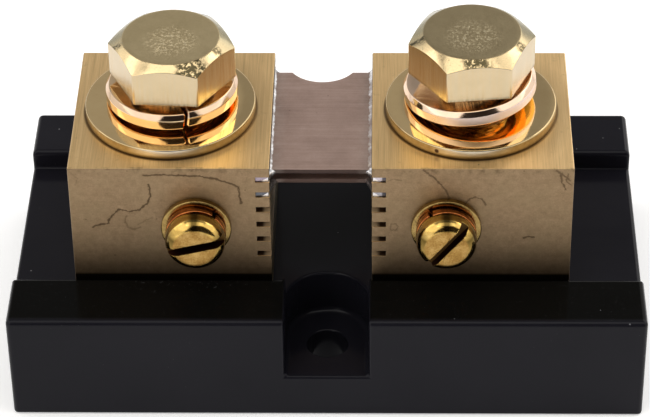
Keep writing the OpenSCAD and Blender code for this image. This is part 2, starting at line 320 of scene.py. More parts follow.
def threaded_rod(r_out, depth, pitch, z0, z1, plain, n=60, per=14, point=0.9, phase=0.0):
    """Rings of a threaded shank from the tip z0 up to z1, with a plain neck below the head and a chamfered tip."""
    rings = []
    steps = int(round((z1 - z0) / pitch * per))
    for k in range(steps + 1):
        z = z0 + (z1 - z0) * k / steps
        ring = []
        for i in range(n):
            t = 2 * math.pi * i / n
            r = thread_radius((z - z0) / pitch - i / n + phase, r_out, depth)
            up = z1 - z
            if up < plain:
                neck = r_out - 0.12
                s = min(1.0, (plain - up) / 0.5)
                r = r + (neck - r) * s
            tip = z - z0
            lim = (r_out - depth - 0.15) + tip * 1.0
            r = min(r, lim)
            ring.append((r * math.cos(t), r * math.sin(t), z))
        rings.append(ring)
    return rings


def stack_rings(name, rings, bottom_z=None, top_z=None):
    n = len(rings[0])
    v = [p for ring in rings for p in ring]
    f = []
    for k in range(len(rings) - 1):
        for i in range(n):
            j = (i + 1) % n
            f.append((k * n + i, k * n + j, (k + 1) * n + j, (k + 1) * n + i))
    v.append((0, 0, rings[0][0][2] if bottom_z is None else bottom_z))
    v.append((0, 0, rings[-1][0][2] if top_z is None else top_z))
    a, b = len(v) - 2, len(v) - 1
    last = (len(rings) - 1) * n
    for i in range(n):
        j = (i + 1) % n
        f.append((a, j, i))
        f.append((b, last + i, last + j))
    return obj_from(name, v, f)


# ------------------------------------------------------------------ base

def u_outline(w, y_end, yc, n=48):
    """Plan outline of a recess that is open at y_end and round at its inner end, for the front side."""
    r = w / 2
    pts = [(-r, y_end), (r, y_end)]
    pts += [(r * math.cos(math.pi * i / n), yc + r * math.sin(math.pi * i / n)) for i in range(n + 1)]
    return pts


def make_base():
    ly = CH_Y
    x0, x1, y0, y1 = B0[0], B1[0], B0[1], B1[1]
    prof = [(y0, 0), (y1, 0), (y1, LEDGE), (ly, LEDGE), (ly, FLOOR), (-ly, FLOOR), (-ly, LEDGE), (y0, LEDGE)]
    ob = prism("moulded_base", prof, x0, x1, lambda u, v, w: (w, u, v))
    cuts = []
    for s in (-1, 1):
        o = u_outline(RECESS_W, -y1 - 2, -RECESS_Y if s < 0 else -RECESS_YR)
        o = [(px, py) for px, py in o]
        if s > 0:
            o = [(px, -py) for px, py in reversed(o)]
        cuts.append(prism("c", o, RECESS_Z, LEDGE + 2))
        cuts.append(cyl("c", 0, s * 17.5, 2.9, -1, LEDGE, 64))
        for mx in (MAIN_L, MAIN_R):
            cuts.append(cyl("c", mx, AXY + s * 9.5, 4.2, -1, 8.0, 56))
            cuts.append(cyl("c", mx, AXY + s * 9.5, 2.3, -1, FLOOR + 1, 40))
    boolean(ob, cuts)

    def rule(m, d, ns, e):
        x, y, z = m
        ay, ax = abs(y), abs(x)
        vertical = abs(d.z) > 0.9
        if vertical:
            if ax > x1 - 0.05 and ay > y1 - 0.05:
                return 0.8
            if ax < RECESS_W / 2 + 0.05 and ay > y1 - 0.05:
                return 0.45
            if ax > x1 - 0.05 and abs(ay - ly) < 0.05:
                return 0.4
            if ax < RECESS_W / 2 + 0.1 and z > FLOOR:
                return 0.3
            return 0
        if z > LEDGE - 0.02:
            if ax < RECESS_W / 2 + 0.05:
                return 0.35
            return 0.8
        if abs(z - FLOOR) < 0.02:
            if ax > x1 - 0.05:
                return 0.5
            if abs(ay - ly) < 0.02 and abs(d.x) > 0.9:
                return 0.45
            if ax < RECESS_W / 2 + 0.05 and ay > 9:
                return 0.35
            return 0.25
        if abs(z - RECESS_Z) < 0.02:
            if ay > y1 - 0.05:
                return 0.45
            if math.hypot(x, ay - 17.5) < 3.2:
                return 0.3
            return 0.9
        if z < 0.02:
            if ax > x1 - 0.05 or ay > y1 - 0.05:
                return 0.4
            return 0.25
        return 0

    bevel_by(ob, rule, 0.8, 4)
    smooth(ob, 30)
    weighted(ob)
    return ob


# ------------------------------------------------------------------ blocks

def make_block(name, left):
    xi = XIL if left else XIR
    xo = BL0[0] if left else BR1[0]
    s = -1 if left else 1
    prof = [(xo, BZ0), (xo, BZ1), (xi, BZ1)]
    for i in range(SLOT_N):
        zc = BZ1 - SLOT_TOP - i * SLOT_P
        prof += [(xi, zc + SLOT_H / 2), (xi + s * SLOT_D, zc + SLOT_H / 2), (xi + s * SLOT_D, zc - SLOT_H / 2), (xi, zc - SLOT_H / 2)]
    prof += [(xi, BZ0)]
    ob = prism(name, prof, YF, YR, lambda u, v, w: (u, w, v))
    mx = MAIN_L if left else MAIN_R
    sp = SENSE_L if left else SENSE_R
    cuts = [cyl("c", mx, BAY, 5.0, BZ1 - 16, BZ1 + 1, 72), cyl("c", mx, BAY, 5.0, BZ1 - 0.45, BZ1 + 0.3, 72, 5.75)]
    c = cyl("c", 0, 0, 2.5, -1, 8, 56)
    cuts.append(place(c, at(sp[0], sp[1], sp[2], rx=-90)))
    for t in (-1, 1):
        cuts.append(cyl("c", mx, AXY + t * 9.5, 2.0, BZ0 - 1, BZ0 + 6.5, 40))
    boolean(ob, cuts)

    def rule(m, d, ns, e):
        x, y, z = m
        if abs(x - mx) < 8 and abs(y - BAY) < 8 and z > BZ1 - 3:
            return 0
        if math.hypot(x - sp[0], z - sp[2]) < 3:
            return 0.12
        inner = abs(x - xi) < SLOT_D + 0.05
        if inner and abs(d.y) > 0.9 and BZ0 + 0.2 < z < BZ1 - 0.2:
            return 0.07 if abs(x - xi) < 0.05 else 0.05
        if inner and BZ0 + 0.2 < z < BZ1 - 0.2 and abs(abs(y - AXY) - (YR - YF) / 2) < 0.02 and not (abs(d.z) > 0.9 and abs(x - xi) < 0.05):
            return 0.06
        return 0.16

    bevel_by(ob, rule, 0.16, 2)
    smooth(ob, 28)
    weighted(ob)
    return ob


# ------------------------------------------------------------------ resistance plates and solder

PL0, PL1 = cad("shunt_plate_upper")
QL0, QL1 = cad("shunt_plate_lower")
NOTCH_R, NOTCH_D, NOTCH_X = 5.2, 2.4, -0.9


def make_plate(name, lo, hi, wav):
    """Sheet strip with a round notch in its rear edge, lightly rolled, with broken edges."""
    t = hi[2] - lo[2]
    zc = 0.5 * (hi[2] + lo[2])
    xs = list(np.linspace(lo[0], hi[0], 49))
    ny = 30
    half = math.sqrt(NOTCH_R ** 2 - (NOTCH_R - NOTCH_D) ** 2)
    xs = sorted(set([round(x, 4) for x in xs] + [round(NOTCH_X - half, 4), round(NOTCH_X + half, 4)]
                    + [round(NOTCH_X + NOTCH_R * math.sin(a), 4) for a in np.linspace(-math.asin(half / NOTCH_R), math.asin(half / NOTCH_R), 27)]))
    cy = hi[1] + NOTCH_R - NOTCH_D
    e = 0.09

    def rear(x):
        d = abs(x - NOTCH_X)
        return cy - math.sqrt(max(NOTCH_R ** 2 - d * d, 0)) if d < half else hi[1]

    v, f = [], []
    nx = len(xs)
    loop = [(0, -1), (0.3, -0.76), (0.76, -0.3)]
    for ix, x in enumerate(xs):
        yr, yf = rear(x), lo[1] + 0.05 * lump((x, 0, 0), wav, 0.5)
        row = []
        # underside from the front to the rear, then the top from the rear to the front
        ys = list(np.linspace(yf + e, yr - e, ny))
        edge_z = t / 2
        for y in ys:
            row.append((x, y, -edge_z))
        row += [(x, yr - e * 0.3, -edge_z + e * 0.3), (x, yr, -edge_z + e), (x, yr, edge_z - e), (x, yr - e * 0.3, edge_z - e * 0.3)]
        for y in reversed(ys):
            row.append((x, y, edge_z))
        row += [(x, yf + e * 0.3, edge_z - e * 0.3), (x, yf, edge_z - e), (x, yf, -edge_z + e), (x, yf + e * 0.3, -edge_z + e * 0.3)]
        for px, py, pz in row:
            v.append((px, py, zc + pz))
    m = len(row)
    for i in range(nx - 1):
        for k in range(m):
            l = (k + 1) % m
            f.append((i * m + k, (i + 1) * m + k, (i + 1) * m + l, i * m + l))
    f.append(tuple(range(m)))
    f.append(tuple((nx - 1) * m + k for k in range(m - 1, -1, -1)))
    ob = obj_from(name, v, f)
    smooth(ob, 30)
    return ob


def make_solder(name, lo, hi, left, leg, seed):
    """Lumpy solder joint along one end of a plate: slot fill, fillets over and under it and a web at each corner."""
    xi = XIL if left else XIR
    s = 1 if left else -1                      # from the block towards the plate
    zc = 0.5 * (hi[2] + lo[2])
    t = hi[2] - lo[2]
    c0, c1 = cad(name)
    yf, yr = lo[1], hi[1]
    y_start, y_end = YF + 0.28, min(c1[1], YR) - 0.1
    ys = sorted(set([round(y, 3) for y in np.linspace(y_start, y_end, 150)]))
    v, f = [], []
    m = None
    for y in ys:
        on = yf + 0.05 < y < yr - 0.02
        w = leg * (0.72 + 0.30 * lump((y, 0, 0), seed, 1.1) + 0.20 * lump((y, 3, 1), seed + 5, 3.7))
        h = leg * (0.80 + 0.28 * lump((y, 1, 0), seed + 9, 0.9) + 0.16 * lump((y, 2, 0), seed, 4.1))
        under = 0.24 + 0.05 * lump((y, 7, 0), seed, 2.0)
        if not on:
            # web: shrinks away from the plate's corner to the block's face
            d = (yf - y) / (yf - y_start) if y <= yf + 0.05 else (y - yr) / (y_end - yr)
            d = min(max(d, 0), 1)
            w = 0.85 * (1 - d) ** 1.25 + 0.0 - 0.2 * d + 0.04 * lump((y, 0, 0), seed, 3)
            top = 0.02 + (1 - d) * 0.10 + 0.03 * lump((y, 0, 5), seed, 3.1) - 0.10 * d
            prof = [(-SLOT_D + 0.03, -SLOT_H / 2 + 0.02), (-0.35, -SLOT_H / 2 + 0.02), (min(w, 0.9) * 0.5 - 0.05, -SLOT_H / 2 + 0.06), (w, -0.22),
                    (w + 0.01, 0.0), (w * 0.92 - 0.02, 0.2), (w * 0.6 - 0.05, 0.34 + top * 0.3), (min(w, 0.0) - 0.1, SLOT_H / 2 - 0.03), (-0.35, SLOT_H / 2 - 0.02), (-SLOT_D + 0.03, SLOT_H / 2 - 0.02)]
        else:
            k = t / 2 + 0.015
            prof = [(-0.12, -SLOT_H / 2 + 0.02), (0.02, -k - under), (0.10, -k - under * 0.6), (0.26, -k),
                    (0.28, k), (w, k + 0.0), (w * 0.93, k + h * 0.14), (w * 0.42, k + h * 0.52), (0.03, k + h), (-0.12, SLOT_H / 2 - 0.02)]
            # the middle points run inside the plate's end, out of sight
            prof = [(-0.12, -SLOT_H / 2 + 0.02), (0.01, -k - under), (0.10, -k - under * 0.6), (0.26, -k), (0.2, -k + 0.1), (0.2, k - 0.1),
                    (w, k), (w * 0.9, k + h * 0.16), (w * 0.40, k + h * 0.55), (0.02, k + h)]
        m = len(prof)
        for a, b in prof:
            v.append((xi + s * a, y, zc + b))
    n = len(ys)
    for i in range(n - 1):
        for k in range(m):
            l = (k + 1) % m
            f.append((i * m + k, (i + 1) * m + k, (i + 1) * m + l, i * m + l))
    f.append(tuple(range(m)))
    f.append(tuple((n - 1) * m + k for k in range(m - 1, -1, -1)))
    ob = obj_from(name + "_bead", v, f)
    smooth(ob, 60)
    return ob


# ------------------------------------------------------------------ main bolts and washers

HEX_AF, HEX_RC = 15.7, 8.99


def hex_radius(t, turn_deg, rc=0.35):
    """Plan radius of the hexagon with blunted corners; a flat faces -Y when turn_deg is 0."""
    a = t - math.radians(turn_deg)
    u = (a + math.pi / 6) % (math.pi / 3) - math.pi / 6       # zero at a corner: corners lie on the X axis
    phi = math.pi / 6 - abs(u)                                 # angle from the flat's middle
    r_flat = (HEX_AF / 2) / math.cos(phi)
    # corner arc: smooth minimum of the flat's radius and the forging's corner radius
    k = 0.03
    a1, b1 = r_flat, HEX_RC
    h = max(0.0, min(1.0, 0.5 + 0.5 * (b1 - a1) / k))
    return b1 + (a1 - b1) * h - k * h * (1 - h)


def make_bolt(name, turn_deg, seed):
    k = HEAD_K
    thetas = []
    for c in range(6):
        base_a = math.radians(turn_deg) + c * math.pi / 3
        for u in np.concatenate([np.linspace(-30, -3, 10)[:-1], np.linspace(-3, -1.25, 3)[:-1], np.linspace(-1.25, 1.25, 9), np.linspace(1.25, 3, 3)[1:], np.linspace(3, 30, 10)[1:-1]]):
            thetas.append(base_a + math.radians(float(u)))
    thetas = sorted(set(round(t % (2 * math.pi), 9) for t in thetas))

    def cone(r):
        """Height of the chamfer at a radius: it leaves the crown steeply and flattens towards the corners."""
        if r < 7.9:
            return k - 0.82 * (r - 6.85) / 1.05
        return k - 0.82 - 0.66 * (r - 7.9) / 1.1

    def prof(t):
        r = hex_radius(t, turn_deg)
        zc = cone(r) + 0.035 * lump((math.cos(t) * 3, math.sin(t) * 3, 0), seed, 0.9)
        rm = 6.85 + 0.5 * (r - 6.85)
        return soften([(0, 0), (4.9, 0), (r, 0.0), (r, zc), (rm, cone(rm)), (6.85, k), (6.2, k), (5.0, k - 0.02), (0, k - 0.03)],
                      [0, 0, 0.14, 0.10, 0, 0.45, 0, 0, 0], 3)

    head = polar(name, thetas, prof)
    rings = threaded_rod(4.95, 0.86, 1.5, -20.0, 0.3, 2.2)
    shank = stack_rings("shank", rings)
    ob = join(name, [head, shank])
    smooth(ob, 34)
    weighted(ob)
    return ob


def make_flat_washer(name, ri, ro, t, e, n=160):
    loop = soften([(ri, 0), (ro, 0), (ro, t), (ri, t)], [e, e * 1.1, e * 1.3, e], 5, closed=True)
    ob = polar(name, turn(n), lambda a: loop, ring=True)
    smooth(ob, 34)
    return ob


def make_spring(name, ri, ro, t, split_at, gap, rise, e, n=150, burr=0.0, cut=0.0, end=0.12):
    """Split spring washer with rounded edges and square-cut ends."""
    # the upper outer edge has a broad flat bevel and the top face is a little dished
    if burr:
        loop = soften([(ri, -t / 2), (ro, -t / 2), (ro, t / 2 - 0.72), (ro - 0.46, t / 2 - 0.05), (ro - 0.60, t / 2), (ri, t / 2 - burr)],
                      [e, e, 0.22, 0.16, 0.2, e], 5, closed=True)
    else:
        loop = soften([(ri, -t / 2), (ro, -t / 2), (ro, t / 2), (ri, t / 2)], [e] * 4, 5, closed=True)
    m = len(loop)
    mid = 0.5 * (ri + ro)
    seat = math.degrees(end / ro)
    v, f = [], []
    for i in range(n + 1):
        # the cut ends have broken edges: the last ring is drawn in a little
        s = min(max((i - 1) / (n - 2), 0.0), 1.0)
        a0 = split_at + gap / 2 + (seat if i else 0.0) + (360 - gap - 2 * seat) * s + (seat if i == n else 0.0)
        inset = end if i in (0, n) else 0.0
        for r, z in loop:
            # the cut faces lean, as a cropped wire's do
            lean = cut * (z / t) if i in (0, 1, n - 1, n) else 0.0
            a = math.radians(a0 + lean)
            rr = r + (mid - r) * inset / (0.5 * (ro - ri))
            zz = z * (1.0 - inset / (0.5 * t))
            v.append((rr * math.cos(a), rr * math.sin(a), zz + rise * (s - 0.5)))
    for i in range(n):
        for k in range(m):
            l = (k + 1) % m
            f.append((i * m + k, (i + 1) * m + k, (i + 1) * m + l, i * m + l))
    f.append(tuple(range(m)))
    f.append(tuple(n * m + k for k in range(m - 1, -1, -1)))
    ob = obj_from(name, v, f)
    smooth(ob, 34)
    return ob


# ------------------------------------------------------------------ sense screws

SENSE_K = 2.85

def make_sense_screw(name, slot_deg, seed):
    r, k, d = 4.2, SENSE_K, 1.6
    loop = [np.array(p) for p in ((0.0, 0.0), (r - 0.12, 0.0), (r - 0.04, 0.04), (r, 0.12))]
    loop += [np.array([r - d + d * math.cos(a), k - d + d * math.sin(a)]) for a in np.linspace(0, math.pi / 2, 15)]
    loop += [np.array([1.3, k]), np.array([0.0, k])]
    head = polar(name, turn(120, 0.5), lambda a: loop)
    cut = box_obj("c", (-6, -0.6, k - 1.6), (6, 0.6, k + 1))
    place(cut, at(0, 0, 0, rz=slot_deg))
    boolean(head, [cut])

    def rule(m, d, ns, e):
        # the slot's edges: one of the faces belongs to the slot
        x, y = m[0] * math.cos(math.radians(slot_deg)) + m[1] * math.sin(math.radians(slot_deg)), -m[0] * math.sin(math.radians(slot_deg)) + m[1] * math.cos(math.radians(slot_deg))
        if abs(y) < 0.62 and m[2] > k - 1.65:
            return 0.10
        return 0

    bevel_by(head, rule, 0.09, 2, min_angle=30)
    rings = threaded_rod(2.45, 0.46, 0.8, -8.0, 0.2, 1.2, n=40, per=12)
    shank = stack_rings("shank", rings)
    ob = join(name, [head, shank])
    smooth(ob, 34)
    return ob


# ------------------------------------------------------------------ screws below

def make_foot_screws(name, mx):
    obs = []
    for s in (-1, 1):
        r = 3.7
        loop = soften([(0, 2.6), (r, 2.6), (r, 0.9), (r - 0.8, 0.0), (0, 0)], [0, 0.15, 0.9, 0.8, 0], 6)
        loop = [(p[0], -p[1]) for p in loop]
        loop = [(a, b + 2.6) for a, b in loop]       # now from z = 0 (seat) up to 2.6 (crown), local up = away from the block
        head = polar("h", turn(64, 0.5), lambda a: loop)
        cuts = []
        for ang in (0, 90):
            c = box_obj("c", (-2.0, -0.42, 1.1), (2.0, 0.42, 4))
            cuts.append(place(c, at(0, 0, 0, rz=ang + 17 * s)))
        boolean(head, cuts)
        bevel_by(head, lambda m, d, ns, e: 0.08 if abs(m[0]) < 2.2 and abs(m[1]) < 2.2 and m[2] > 1.0 else 0, 0.08, 2, min_angle=30)
        shank = stack_rings("s", threaded_rod(1.95, 0.38, 0.7, -12.0, 0.2, 1.0, n=36, per=10))
        o = join("one", [head, shank])
        place(o, at(mx, AXY + s * 9.5, 7.0, rx=180))
        obs.append(o)
    ob = join(name, obs)
    smooth(ob, 34)
    return ob


def make_foot_washers(name, mx):
    obs = []
    for s in (-1, 1):
        o = make_spring("w", 2.15, 3.6, 0.95, 20 + 40 * s, 10, 0.0, 0.08, 60)
        place(o, at(mx, AXY + s * 9.5, 7.5))
        obs.append(o)
    ob = join(name, obs)
    smooth(ob, 34)
    return ob


# ------------------------------------------------------------------ materials

class Mat:
    """A small builder for node materials. Coordinates are object coordinates in millimetres."""

    def __init__(self, name):
        self.m = bpy.data.materials.new(name)
        self.m.use_nodes = True
        self.t = self.m.node_tree
        self.t.nodes.clear()
        self.out = self.t.nodes.new("ShaderNodeOutputMaterial")
        self.b = self.t.nodes.new("ShaderNodeBsdfPrincipled")
        self.t.links.new(self.b.outputs[0], self.out.inputs[0])
        tc = self.t.nodes.new("ShaderNodeTexCoord")
        sc = self.vmath("SCALE", tc.outputs["Object"])
        sc.node.inputs["Scale"].default_value = 1000.0
        self.mm = sc

    def link(self, src, dst):
        if isinstance(src, (int, float)):
            dst.default_value = src
        elif isinstance(src, (tuple, list)):
            dst.default_value = src if len(src) == len(dst.default_value) else (*src, 1.0)
        else:
            self.t.links.new(src, dst)

    def vmath(self, op, a, b=None):
        n = self.t.nodes.new("ShaderNodeVectorMath")
        n.operation = op
        self.link(a, n.inputs[0])
        if b is not None:
            self.link(b, n.inputs[1])
        return n.outputs["Value"] if op in ("LENGTH", "DOT_PRODUCT", "DISTANCE") else n.outputs["Vector"]

    def math(self, op, a, b=None, c=None, clamp=False):
        n = self.t.nodes.new("ShaderNodeMath")
        n.operation = op
        n.use_clamp = clamp
        self.link(a, n.inputs[0])
        if b is not None:
            self.link(b, n.inputs[1])
        if c is not None:
            self.link(c, n.inputs[2])
        return n.outputs[0]

    def noise(self, scale, detail=3.0, rough=0.5, stretch=(1, 1, 1), vec=None, distort=0.0, offset=(0, 0, 0)):
        mp = self.t.nodes.new("ShaderNodeMapping")
        self.link(vec if vec is not None else self.mm, mp.inputs["Vector"])
        mp.inputs["Scale"].default_value = stretch
        mp.inputs["Location"].default_value = offset
        n = self.t.nodes.new("ShaderNodeTexNoise")
        self.link(mp.outputs[0], n.inputs["Vector"])
        n.inputs["Scale"].default_value = scale
        n.inputs["Detail"].default_value = detail
        n.inputs["Roughness"].default_value = rough
        n.inputs["Distortion"].default_value = distort
        return n.outputs["Fac"]

    def voronoi(self, scale, feature="F1", vec=None, rand=1.0, out="Distance"):
        n = self.t.nodes.new("ShaderNodeTexVoronoi")
        n.feature = feature
        self.link(vec if vec is not None else self.mm, n.inputs["Vector"])
        n.inputs["Scale"].default_value = scale
        n.inputs["Randomness"].default_value = rand
        return n.outputs[out]

    def ramp(self, fac, stops, interp="LINEAR"):
        n = self.t.nodes.new("ShaderNodeValToRGB")
        n.color_ramp.interpolation = interp
        els = n.color_ramp.elements
        while len(els) < len(stops):
            els.new(0.5)
        for e, (p, c) in zip(els, stops):
            e.position = p
            e.color = (*c, 1.0) if isinstance(c, (tuple, list)) else (c, c, c, 1.0)
        self.link(fac, n.inputs[0])
        return n.outputs[0]

    def range(self, v, a, b, c=0.0, d=1.0, smooth=False):
        n = self.t.nodes.new("ShaderNodeMapRange")
        n.clamp = True
        if smooth:
            n.interpolation_type = "SMOOTHSTEP"
        self.link(v, n.inputs["Value"])
        for k, x in zip(("From Min", "From Max", "To Min", "To Max"), (a, b, c, d)):
            self.link(x, n.inputs[k])
        return n.outputs[0]

    def mix(self, fac, a, b, mode="MIX"):
        n = self.t.nodes.new("ShaderNodeMix")
        n.data_type = "RGBA"
        n.blend_type = mode
        n.clamp_factor = True
        self.link(fac, n.inputs[0])
        self.link(a, n.inputs[6])
        self.link(b, n.inputs[7])
        return n.outputs[2]

    def fmix(self, fac, a, b):
        n = self.t.nodes.new("ShaderNodeMix")
        n.data_type = "FLOAT"
        self.link(fac, n.inputs[0])
        self.link(a, n.inputs[2])
        self.link(b, n.inputs[3])
        return n.outputs[0]

    def xyz(self, vec=None):
        n = self.t.nodes.new("ShaderNodeSeparateXYZ")
        self.link(vec if vec is not None else self.mm, n.inputs[0])
        return n.outputs[0], n.outputs[1], n.outputs[2]

    def comb(self, x, y, z):
        n = self.t.nodes.new("ShaderNodeCombineXYZ")
        for s, v in zip(n.inputs, (x, y, z)):
            self.link(v, s)
        return n.outputs[0]

    def normal(self):
        n = self.t.nodes.new("ShaderNodeNewGeometry")
        vt = self.t.nodes.new("ShaderNodeVectorTransform")
        vt.vector_type = "NORMAL"
        vt.convert_from = "WORLD"
        vt.convert_to = "OBJECT"
        self.link(n.outputs["Normal"], vt.inputs[0])
        return vt.outputs[0]

    def pointiness(self):
        n = self.t.nodes.new("ShaderNodeNewGeometry")
        return n.outputs["Pointiness"]

    def bump(self, height, strength, dist_mm, normal=None):
        n = self.t.nodes.new("ShaderNodeBump")
        n.inputs["Strength"].default_value = strength
        n.inputs["Distance"].default_value = dist_mm * MM
        self.link(height, n.inputs["Height"])
        if normal is not None:
            self.link(normal, n.inputs["Normal"])
        return n.outputs[0]

    def set(self, **kw):
        names = {"color": "Base Color", "metal": "Metallic", "rough": "Roughness", "ior": "IOR", "normal": "Normal",
                 "spec": "Specular IOR Level", "coat": "Coat Weight", "coat_rough": "Coat Roughness", "aniso": "Anisotropic",
                 "aniso_rot": "Anisotropic Rotation", "tangent": "Tangent", "tint": "Specular Tint", "sheen": "Sheen Weight"}
        for k, v in kw.items():
            self.link(v, self.b.inputs[names[k]])
        return self

    def polyline(self, pts, px, pz):
        """Distance (mm) in the plane of px, pz to a drawn line."""
        best = None
        for (ax, az), (bx, bz) in zip(pts[:-1], pts[1:]):
            dx, dz = bx - ax, bz - az
            l2 = dx * dx + dz * dz
            ux, uz = self.math("SUBTRACT", px, ax), self.math("SUBTRACT", pz, az)
            t = self.math("DIVIDE", self.math("ADD", self.math("MULTIPLY", ux, dx), self.math("MULTIPLY", uz, dz)), l2, clamp=True)
            ex = self.math("SUBTRACT", ux, self.math("MULTIPLY", t, dx))
            ez = self.math("SUBTRACT", uz, self.math("MULTIPLY", t, dz))
            d = self.math("SQRT", self.math("ADD", self.math("MULTIPLY", ex, ex), self.math("MULTIPLY", ez, ez)))
            best = d if best is None else self.math("MINIMUM", best, d)
        return best


def mat_plastic():
    m = Mat("black_moulded_plastic")
    haze = m.noise(0.06, 4, 0.55)
    flow = m.noise(0.35, 5, 0.6, stretch=(0.25, 1, 1))
    # dust: sparse tiny pale specks
    cell = m.voronoi(0.42)
    col = m.voronoi(0.42, out="Color")
    cx, cy, cz = m.xyz(col)
    size = m.range(cx, 0.0, 1.0, 0.010, 0.045)
    speck = m.range(cell, size, m.math("ADD", size, 0.02), 1.0, 0.0)
    speck = m.math("MULTIPLY", speck, m.range(cy, 0.55, 0.60))
    fine = m.voronoi(1.3)
    fc = m.voronoi(1.3, out="Color")
    fx, fy, fz = m.xyz(fc)
    fspeck = m.math("MULTIPLY", m.range(fine, 0.035, 0.06, 0.5, 0.0), m.range(fx, 0.86, 0.88))
    x, y, z = m.xyz()
    ledge = m.math("MULTIPLY", m.range(m.xyz(m.normal())[2], 0.7, 0.9), m.math("MULTIPLY", m.range(y, B0[1] + 0.5, B0[1] + 1.2), m.math("MULTIPLY", m.math("LESS_THAN", y, 0.3 - CH_Y), m.math("GREATER_THAN", z, LEDGE - 1.0))))
    here = m.math("ADD", m.math("MULTIPLY", m.range(m.math("ABSOLUTE", m.math("ADD", x, 19.0)), 11.0, 5.0), m.range(y, -18.5, -17.0)), 0.16)
    smudge = m.math("MULTIPLY", here, m.math("MULTIPLY", ledge, m.range(m.noise(1.9, 5, 0.75), 0.60, 0.70, 0.0, 0.26)))
    dust = m.math("MAXIMUM", m.math("MAXIMUM", speck, fspeck), smudge)
    base = m.ramp(haze, [(0.3, (0.0080, 0.0078, 0.0110)), (0.7, (0.0105, 0.0101, 0.0140))])
    # painted shade: the front ledge's top, in front of the blocks, is darkened almost to black, and its specular is
    # lowered below
    base = m.mix(ledge, base, (0.0035, 0.0034, 0.0030))
    color = m.mix(dust, base, (0.20, 0.20, 0.21))
    rough = m.math("ADD", m.range(haze, 0.3, 0.7, 0.10, 0.17), m.range(flow, 0.3, 0.7, 0.0, 0.05))
    rough = m.math("ADD", rough, m.math("MULTIPLY", dust, 0.4))
    orange = m.noise(1.1, 3, 0.5)
    bump = m.bump(m.math("ADD", m.math("MULTIPLY", orange, 0.6), m.math("MULTIPLY", flow, 0.5)), 0.10, 0.05)
    bump = m.bump(dust, 0.6, 0.02, bump)
    m.set(color=color, rough=rough, metal=0.0, ior=1.5, spec=m.math("SUBTRACT", 0.115, m.math("MULTIPLY", ledge, 0.075)), normal=bump)
    return m.m


def grain_coord(m):
    """Coordinates in which the brushed lines run along the first axis on every face of a block."""
    n = m.normal()
    nx, ny, nz = m.xyz(n)
    x, y, z = m.xyz()
    top = m.range(m.math("ABSOLUTE", nz), 0.6, 0.7)
    side = m.range(m.math("ABSOLUTE", nx), 0.6, 0.7)
    front = m.math("SUBTRACT", 1.0, m.math("MAXIMUM", top, side), clamp=True)
    return top, side, front, x, y, z


STAINS_LEFT = [
    ([(-24.63, 33.3), (-24.57, 31.27), (-25.04, 29.96), (-26.14, 28.82), (-27.71, 28.48), (-29.13, 28.81), (-29.81, 28.15), (-30.53, 27.0), (-30.7, 26.34), (-31.75, 26.17), (-32.95, 25.74)], 0.085, 0.75),
    ([(-28.02, 27.66), (-28.38, 26.67), (-27.87, 25.61), (-26.97, 25.28), (-26.2, 25.7)], 0.07, 0.35),
    ([(-26.5, 26.1), (-25.5, 26.9), (-24.39, 27.34)], 0.06, 0.25),
    ([(-25.4, 34.83), (-23.0, 34.9), (-20.17, 34.84), (-17.86, 34.68), (-15.82, 34.36), (-14.04, 33.72), (-12.77, 33.24), (-12.21, 32.75), (-12.05, 31.29), (-11.88, 29.99)], 0.085, 0.7),
    ([(-35.6, 35.4), (-34.6, 34.2), (-34.9, 33.1)], 0.06, 0.2),
]
STAINS_RIGHT = [
    ([(13.4, 35.86), (14.95, 34.58), (15.99, 33.29), (16.78, 32.0), (17.44, 30.54)], 0.085, 0.6),
    ([(19.39, 29.72), (19.89, 30.7), (20.91, 31.1), (21.82, 30.71), (22.28, 29.66)], 0.065, 0.55),
    ([(8.9, 25.5), (9.1, 26.3), (9.7, 26.4), (10.1, 25.8), (9.7, 25.15), (9.1, 25.2), (8.9, 25.5)], 0.06, 0.35),
    ([(27.7, 23.88), (28.5, 24.1), (29.3, 24.0)], 0.08, 0.7),
    ([(31.94, 35.73), (33.0, 34.9), (33.92, 33.97)], 0.08, 0.55),
    ([(32.5, 35.0), (32.78, 33.64), (33.34, 32.51)], 0.09, 0.6),
    ([(33.6, 35.2), (33.4, 33.9), (34.04, 33.2)], 0.07, 0.5),
    ([(8.6, 33.9), (9.4, 34.2), (10.6, 34.0)], 0.05, 0.3),
]


